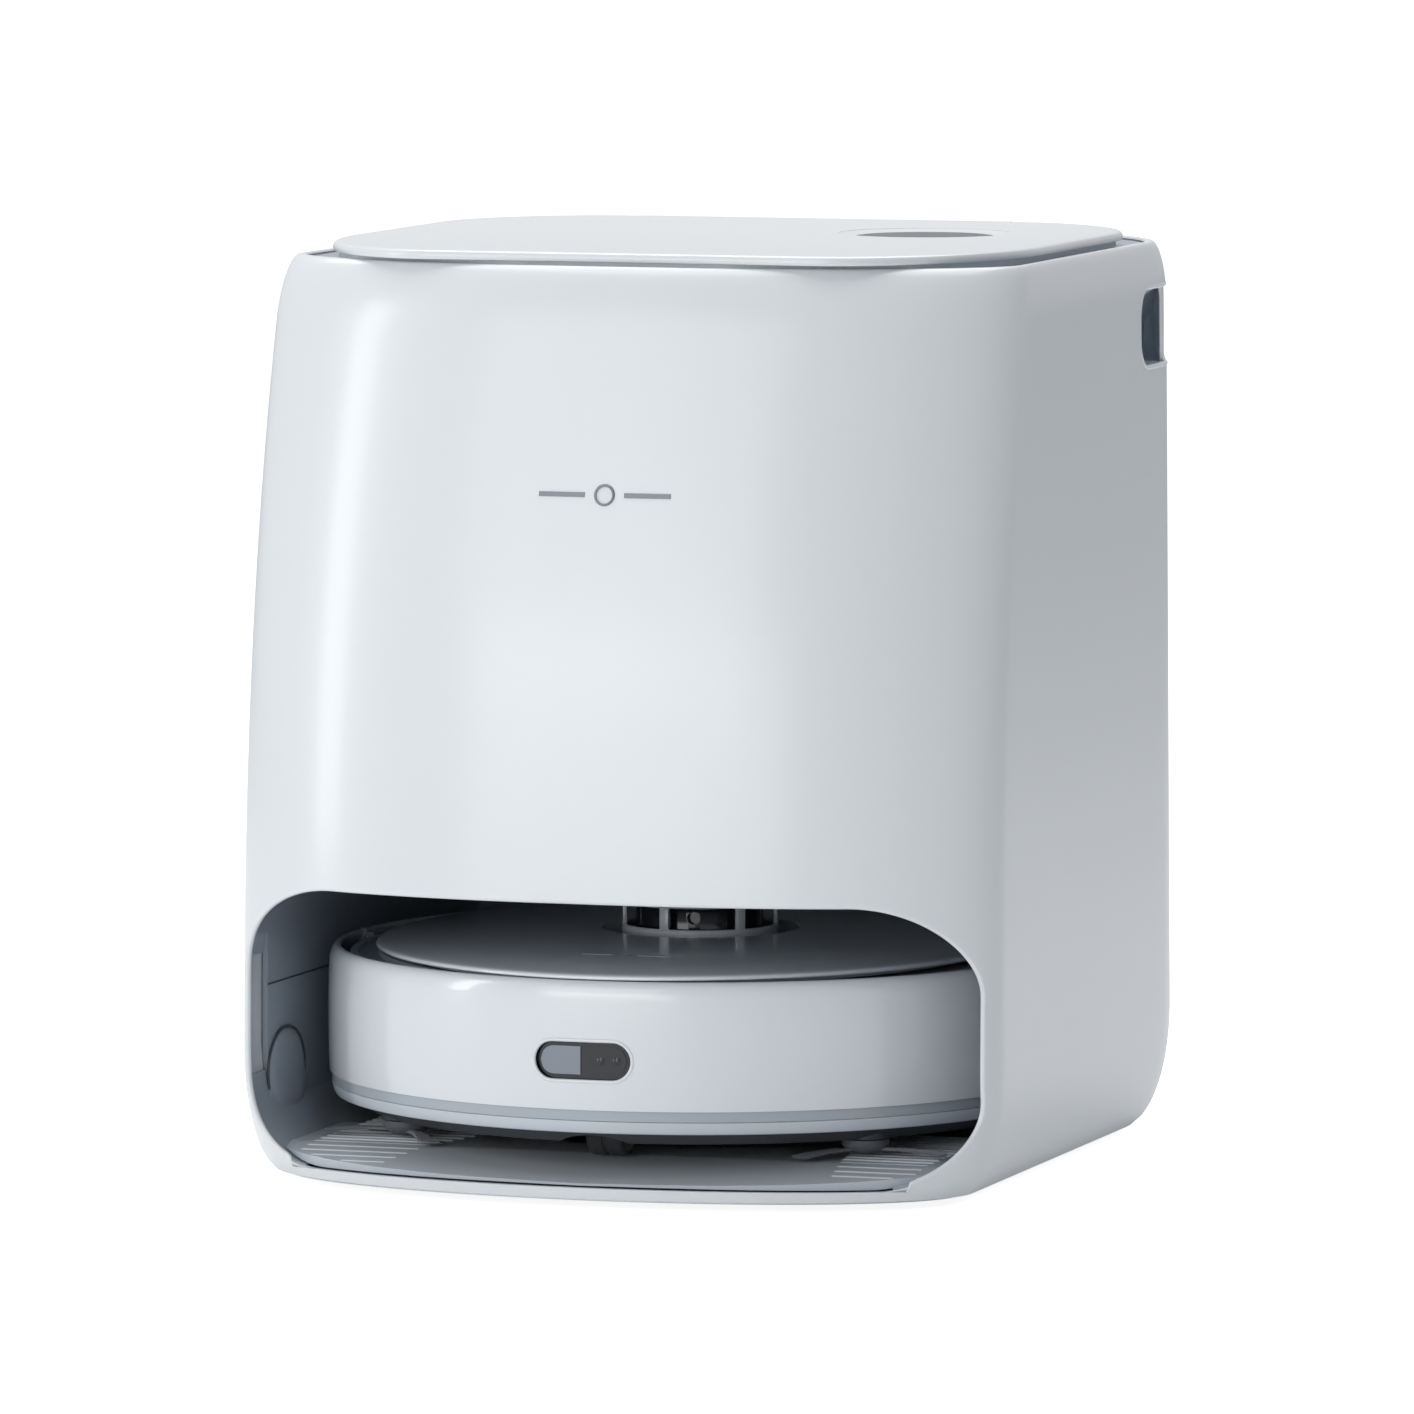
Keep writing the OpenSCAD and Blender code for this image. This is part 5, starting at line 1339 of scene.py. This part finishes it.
def tyre(side):
    """Tyre with chevron tread blocks and rounded shoulders."""
    centre, half = middle_of(f"{side}_tyre")
    r, w, steps, pitch = half.z, half.x, 288, 12
    tread = [-0.86 + 1.72 * j / 12 for j in range(13)]

    def row(i):
        a = 2 * pi * i / steps

        def at(x, radius):
            return centre + Vector((x, radius * math.cos(a), radius * math.sin(a)))

        points = [at(-w, r - 3.9 * mm), at(-w, r - 2.4 * mm), at(-w * 0.96, r - 1.2 * mm)]
        for u in tread:
            grooved = (i + round(abs(u) * 7)) % pitch in (0, 1, 2) or abs(u) < 0.05
            points.append(at(u * w, r - (1.5 * mm if grooved else 0.25 * mm * u * u)))
        points += [at(w * 0.96, r - 1.2 * mm), at(w, r - 2.4 * mm), at(w, r - 3.9 * mm),
            at(-w, r - 3.9 * mm)]
        return points

    made = lattice(f"{side}_tyre_tread", [row(i % steps) for i in range(steps + 1)])
    placed(smooth(outward(made), 30), f"{side}_wheel", "tyre_rubber", stands_for=[f"{side}_tyre"])


def outward(piece):
    edit(piece)
    bpy.ops.mesh.select_all(action="SELECT")
    bpy.ops.mesh.normals_make_consistent(inside=False)
    done()
    return piece


def caster_wheel():
    """Solid caster wheel with a dished face on each side."""
    centre, half = middle_of("caster_wheel")
    fork_lo, fork_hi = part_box("caster_fork")
    r = half.z
    w = min(half.x, (fork_hi.x - fork_lo.x) / 2 - 3.4 * mm)
    section = [(2.6 * mm, -w), (r - 4.6 * mm, -w + 0.8 * mm), (r - 3 * mm, -w)] + arc(r - 1.6 * mm,
        -w + 1.6 * mm, 1.6 * mm, 1.6 * mm, -90, 0, 5)
    section += [(r, -1.2 * mm), (r - 0.8 * mm, -0.7 * mm), (r - 0.8 * mm, 0.7 * mm), (r, 1.2 * mm)]
    section += arc(r - 1.6 * mm, w - 1.6 * mm, 1.6 * mm, 1.6 * mm, 0, 90, 5) + [(r - 3 * mm, w),
        (r - 4.6 * mm, w - 0.8 * mm), (2.6 * mm, w)]
    section += [(2.2 * mm, half.x), (0.01 * mm, half.x), (0.01 * mm, -half.x), (2.2 * mm, -half.x),
        (2.6 * mm, -w)]
    wheel = lay_on_side(turned("caster_roller", section, steps=72), centre)
    placed(smooth(outward(wheel), 35), "caster_wheel", "tyre_rubber", stands_for=["caster_wheel"])


def main_brush():
    """Roller with helical rubber blades and rows of bristles between them."""
    centre, half = middle_of("main_brush")
    reach, blades, core_r = 70 * mm, 6, 9.5 * mm
    shaft = [(0.01 * mm, -half.x), (3 * mm, -half.x), (3 * mm, -reach - 1 * mm),
        (core_r - 0.6 * mm, -reach), (core_r, -reach + 0.6 * mm),
             (core_r, reach - 0.6 * mm), (core_r - 0.6 * mm, reach), (3 * mm, reach + 1 * mm),
             (3 * mm, half.x), (0.01 * mm, half.x),
             (0.01 * mm, -half.x)]
    roller = lay_on_side(turned("main_brush_core", shaft, steps=64), centre)
    placed(smooth(outward(roller), 35), "main_brush", "brush_rubber", stands_for=["main_brush"])

    def at(x, radius, a):
        return centre + Vector((x, radius * math.cos(a), radius * math.sin(a)))

    def twist(x):
        return 0.75 * abs(x) / reach

    made = []
    for b in range(blades):
        rows = []
        for i in range(41):
            x = -reach + 2 * mm + (2 * reach - 4 * mm) * i / 40
            a = 2 * pi * b / blades + twist(x)
            rows.append([at(x, radius * mm, a + w / radius) for radius, w in
                         ((9.2, -1.3), (13.0, -0.9), (16.5, -0.7), (18.4, -0.75), (18.75, 0.0),
                             (18.4, 0.75), (16.5, 0.7),
                          (13.0, 0.9), (9.2, 1.3), (9.2, -1.3))])
        ends = [[sum(row[:-1], Vector()) / (len(row) - 1)] * len(row) for row in (rows[0], rows[-1])]
        made.append(lattice("blade", [ends[0]] + rows + [ends[1]]))
    placed(smooth(outward(join("main_brush_blades", *made)), 40), "main_brush", "brush_rubber")
    tufts = []
    for b in range(blades):
        for i in range(14):
            x = -reach + 6 * mm + (2 * reach - 12 * mm) * i / 13
            a = 2 * pi * (b + 0.5) / blades + twist(x)
            tufts.append(bristle([at(x + s * mm, radius * mm, a + s * 0.03) for radius,
                s in ((9.3, 0.0), (13, 0.3), (17.6, 0.8))],
                                 0.7 * mm, 6))
    placed(smooth(join("main_brush_tufts", *tufts), 60), "main_brush", "brush_rubber", bristle_finish)


def bristle(path, radius, sides=5):
    """One tapering tuft with closed ends."""
    rows = []
    last = len(path) - 1
    for i, p in enumerate(path):
        along = (path[min(i + 1, last)] - path[max(i - 1, 0)]).normalized()
        across = along.orthogonal().normalized()
        third = along.cross(across)
        here = radius * (1 - 0.55 * i / last)
        rows.append([p + here * (math.cos(a) * across + math.sin(a) * third) for a in [2 * pi * k / sides for k in range(sides + 1)]])
    return lattice("bristle", [[path[0]] * (sides + 1)] + rows + [[path[-1]] * (sides + 1)])


def side_brush(side):
    """Three fans of bristles on rubber arms round a hub."""
    low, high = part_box(f"{side}_side_brush")
    joint = next(row for row in frame["record"]["behaviour"]["joints"] if row["name"] == f"{side}_side_brush_spin")
    cx, cy = joint["pos_m"][0], joint["pos_m"][1]
    s = 1 if cx > 0 else -1
    reach = 40.6 * mm
    base = low.z
    hub = turned(f"{side}_side_brush_hub", [(0.01 * mm, base + 0.4 * mm), (3 * mm, base + 0.2 * mm),
        (7 * mm, base + 0.8 * mm),
                                            (10 * mm, base + 2.6 * mm), (11 * mm, base + 4.8 * mm),
                                            (11 * mm, base + 6.9 * mm),
                                            (2.5 * mm, base + 7.1 * mm), (2.5 * mm, high.z),
                                            (0.01 * mm, high.z),
                                            (0.01 * mm, base + 0.4 * mm)], (cx, cy), 60)
    arms, hairs = [], []
    for i in range(3):
        aim = math.radians(90 + s * 25 + 120 * i)

        def at(radius, across, z):
            return Vector((cx + radius * math.cos(aim) - across * math.sin(aim),
                cy + radius * math.sin(aim) + across * math.cos(aim), z))

        rows = [[at(k * mm, u * wide * mm, base + (z + 2.2) * mm) for u,
            z in ((-1, 0), (-0.6, -0.9), (0.6, -0.9), (1, 0), (0.6, 1.0), (-0.6, 1.0), (-1, 0))]
                for k, wide in ((7, 3.4), (10, 3.0), (14, 2.6), (17, 2.5), (18, 2.3))]
        ends = [[sum(row[:-1], Vector()) / (len(row) - 1)] * len(row) for row in (rows[0], rows[-1])]
        arms.append(lattice("arm", [ends[0]] + rows + [ends[1]]))
        for j in range(18):
            u = (j % 9 - 4) / 4
            lift = 0.7 * mm if j > 8 else 0.0
            path = [at(k * (reach - abs(u) * 1.2 * mm), u * (1.7 + 3.4 * t ** 1.5) * mm,
                base + 2.2 * mm + lift - 1.6 * mm * t ** 2)
                    for k, t in ((0.4, 0.0), (0.6, 0.35), (0.8, 0.7), (0.985, 1.0))]
            hairs.append(bristle(path, 0.42 * mm))
    placed(smooth(hub, 35), f"{side}_side_brush", "brush_rubber", stands_for=[f"{side}_side_brush"])
    placed(smooth(outward(join(f"{side}_side_brush_arms", *arms)), 50), f"{side}_side_brush",
        "brush_rubber")
    placed(smooth(join(f"{side}_side_brush_bristles", *hairs), 60), f"{side}_side_brush", "brush_rubber",
        bristle_finish)


def power_button():
    """Round button with a shallow finger dish."""
    low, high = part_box("power_button")
    r, top = 7.9 * mm, high.z
    button = turned("power_button_cap", [(0.01 * mm, top - 0.5 * mm), (3 * mm, top - 0.42 * mm),
        (5.6 * mm, top - 0.15 * mm), (6.6 * mm, top),
                                         (7.4 * mm, top - 0.1 * mm), (r, top - 0.7 * mm),
                                         (r, low.z + 2 * mm), (11 * mm, low.z + 1.8 * mm),
                                         (11 * mm, low.z), (0.01 * mm, low.z), (0.01 * mm, top - 0.5 * mm)],
                    ((low.x + high.x) / 2, (low.y + high.y) / 2), 72)
    placed(smooth(button, 30), "power_button", "robot_white", stands_for=["power_button"])


for each_side in ("left", "right"):
    mop(each_side)
    tyre(each_side)
    side_brush(each_side)
caster_wheel()
main_brush()
power_button()

# ---------- Badges, rear panel and feet ----------


def badge(name, centre_x, centre_z, size, follow, body, slot):
    """A plain mark of two bars and a ring, laid on a curved surface."""
    bar, ring_r, thick, gap = 22 * mm * size, 4.5 * mm * size, 2.2 * mm * size, 5 * mm * size
    made = []
    for s in (-1, 1):
        near = s * (ring_r + gap)
        x0, x1 = sorted((near, near + s * bar))
        strip = block("bar", (x0, -0.3 * mm, -thick / 2), (x1, 0.5 * mm, thick / 2))
        edit(strip)
        bpy.ops.mesh.select_all(action="SELECT")
        bpy.ops.mesh.subdivide(number_cuts=9)
        done()
        made.append(strip)
    ring_path = [(ring_r * math.cos(a), 0.0,
        ring_r * math.sin(a)) for a in [2 * pi * i / 48 for i in range(48)]]
    made.append(bead("ring", ring_path, thick * 0.42, sides=10, flat=0.35 if size < 1 else 0.5))
    mark = join(name, *made)
    for vertex in mark.data.vertices:
        vertex.co = follow(centre_x + vertex.co.x, centre_z + vertex.co.z, vertex.co.y)
    placed(smooth(outward(mark), 40), body, slot, badge_finish)


def rear_panel():
    """Service panel with a raised border, vent slots and the inlet's opening."""
    x, z = (panel_lo.x + panel_hi.x) / 2, (panel_lo.z + panel_hi.z) / 2
    w, h = panel_hi.x - panel_lo.x, panel_hi.z - panel_lo.z
    panel = plate("rear_service_panel", rounded_rect(x, z, w - 0.6 * mm, h - 0.6 * mm, 12 * mm, 12),
        panel_lo.y, panel_hi.y, "y")
    inlet_lo, inlet_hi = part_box("power_inlet")
    step = plate("panel_step", rounded_rect(x, z, w - 26 * mm, h - 26 * mm, 9 * mm, 12),
        panel_hi.y - 0.8 * mm, panel_hi.y + 5 * mm, "y")
    cut(panel, step)
    cut(panel, plate("inlet_hole", rounded_rect((inlet_lo.x + inlet_hi.x) / 2,
        (inlet_lo.z + inlet_hi.z) / 2, inlet_hi.x - inlet_lo.x + 0.4 * mm,
                                               inlet_hi.z - inlet_lo.z + 0.4 * mm, 1 * mm, 4),
                                               panel_lo.y - 5 * mm, panel_hi.y + 5 * mm, "y"))
    for i in range(8):
        cut(panel, plate("vent_slot", rounded_rect(-40 * mm, (200 + 12 * i) * mm, 70 * mm, 5 * mm,
            2.4 * mm, 6), panel_lo.y - 5 * mm,
                         panel_hi.y + 5 * mm, "y"))
    for sx in (-1, 1):
        for sz in (-1, 1):
            cut(panel, rod("screw_hole", (x + sx * (w / 2 - 7 * mm), panel_hi.y,
                z + sz * (h / 2 - 7 * mm)), 3.3 * mm, 20 * mm, "y", 32))
    soften(panel, 0.35 * mm, 2, 40)
    placed(smooth(panel, 30), "station", "service_panel", stands_for=["rear_cover"])


def feet():
    """Ringed rubber feet."""
    low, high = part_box("rubber_feet")
    r = 11 * mm
    spots = [(low.x + r, low.y + r), (high.x - r, low.y + r), (low.x + r + 10 * mm, high.y - r),
        (high.x - r - 10 * mm, high.y - r), (0.0, 0.0)]
    made = [turned("foot", [(0.01 * mm, 0.4 * mm), (3 * mm, 0.4 * mm), (4 * mm, 0), (5.4 * mm, 0),
        (6 * mm, 0.6 * mm), (7 * mm, 0.6 * mm),
                            (7.6 * mm, 0), (9.2 * mm, 0), (10 * mm, 0.5 * mm), (11 * mm, high.z),
                            (0.01 * mm, high.z), (0.01 * mm, 0.4 * mm)],
                   spot, 48) for spot in spots]
    placed(smooth(join("ringed_feet", *made), 35), "station", "feet_rubber", stands_for=["rubber_feet"])


def on_front(x, z, out):
    return Vector((x, face_y(x, z) + out - 0.1 * mm, z))


badge_ahead = 112 * mm


def on_cover(x, along, out):
    dy = -badge_ahead + along
    r = math.hypot(x, dy) / cover_d
    return Vector((x, robot_y + dy, cover_low + 2.2 * mm + 5 * mm * (1 - r ** 2) - out * 0.6))


badge("station_badge", 7.5 * mm, 325.6 * mm, 1.0, on_front, "station", "band_grey")
badge("robot_badge", 0.0, 0.0, 0.66, on_cover, "cover", "band_grey")
rear_panel()
feet()

# ---------- Floor, light and camera ----------


def studio():
    """A plain pale floor, soft light and the camera."""
    deselect()
    bpy.ops.mesh.primitive_plane_add(size=60, location=(0, 0, 0))
    floor = named("studio_floor")
    floor_finish = plastic("studio_floor", (0.93, 0.935, 0.94), 0.7, relief=0.0, smudge=0.02, drift=0.995)
    floor_finish.node_tree.nodes["Principled BSDF"].inputs["Specular IOR Level"].default_value = 0.1
    floor_finish.node_tree.nodes["Principled BSDF"].inputs["Emission Color"].default_value = (1, 1, 1, 1)
    floor_tree = floor_finish.node_tree
    glow = maths(floor_tree, "MULTIPLY", node(floor_tree, "LightPath").outputs["Is Camera Ray"], 0.75)
    floor_tree.links.new(maths(floor_tree, "ADD", glow, 0.12),
        floor_tree.nodes["Principled BSDF"].inputs["Emission Strength"])
    floor.data.materials.append(floor_finish)

    def soft_box(name, place, aim, size, power, colour=(1, 1, 1)):
        bpy.ops.object.light_add(type="AREA", location=place)
        light = bpy.context.object
        light.name = name
        light.data.shape = "RECTANGLE"
        light.data.size, light.data.size_y = size
        light.data.energy = power
        light.data.color = colour
        light.rotation_euler = (Vector(aim) - Vector(place)).to_track_quat("-Z", "Y").to_euler()

    soft_box("left_strip", (-2.5, -1.5, 1.0), (0, 0, 0.25), (0.4, 1.9), 15)
    soft_box("front_fill", (-0.9, -3.6, 1.7), (0, 0, 0.2), (2.6, 2.2), 31)
    soft_box("top_box", (-0.3, 0.5, 2.3), (0, 0, 0.3), (2.4, 2.4), 50)
    soft_box("low_front", (-0.5, -3.0, 0.45), (0, 0, 0.1), (2.2, 0.8), 13)
    world = bpy.data.worlds.new("pale_room")
    bpy.context.scene.world = world
    world.use_nodes = True
    tree = world.node_tree
    ground = tree.nodes["Background"]
    ground.inputs["Color"].default_value = (0.86, 0.92, 1.0, 1)
    ground.inputs["Strength"].default_value = 0.26
    open_sky = node(tree, "Background", Color=(1, 1, 1, 1), Strength=1.0)
    paths = node(tree, "LightPath")
    seen = maths(tree, "ADD", paths.outputs["Is Camera Ray"],
        maths(tree, "MULTIPLY", paths.outputs["Is Glossy Ray"], 0.55),
                 clamp=True)
    mixed = node(tree, "MixShader", [(0, seen), (1, ground.outputs[0]), (2, open_sky.outputs[0])])
    tree.links.new(mixed.outputs[0], tree.nodes["World Output"].inputs["Surface"])
    bpy.context.scene.view_settings.view_transform = "Standard"

    azimuth, elevation, distance = math.radians(18.0), math.radians(5.22), 5.7985
    back = Vector((math.sin(azimuth) * math.cos(elevation), -math.cos(azimuth) * math.cos(elevation),
        math.sin(elevation)))
    aim = Vector((0, 0, tall / 2))
    bpy.ops.object.camera_add(location=aim + back * distance)
    camera = bpy.context.object
    camera.rotation_euler = (-back).to_track_quat("-Z", "Y").to_euler()
    camera.data.sensor_width = 36
    camera.data.lens = 313.2
    camera.data.shift_x, camera.data.shift_y = -0.0047, -0.0072
    camera.data.clip_end = 60
    bpy.context.scene.camera = camera


studio()

bpy.context.view_layer.update()
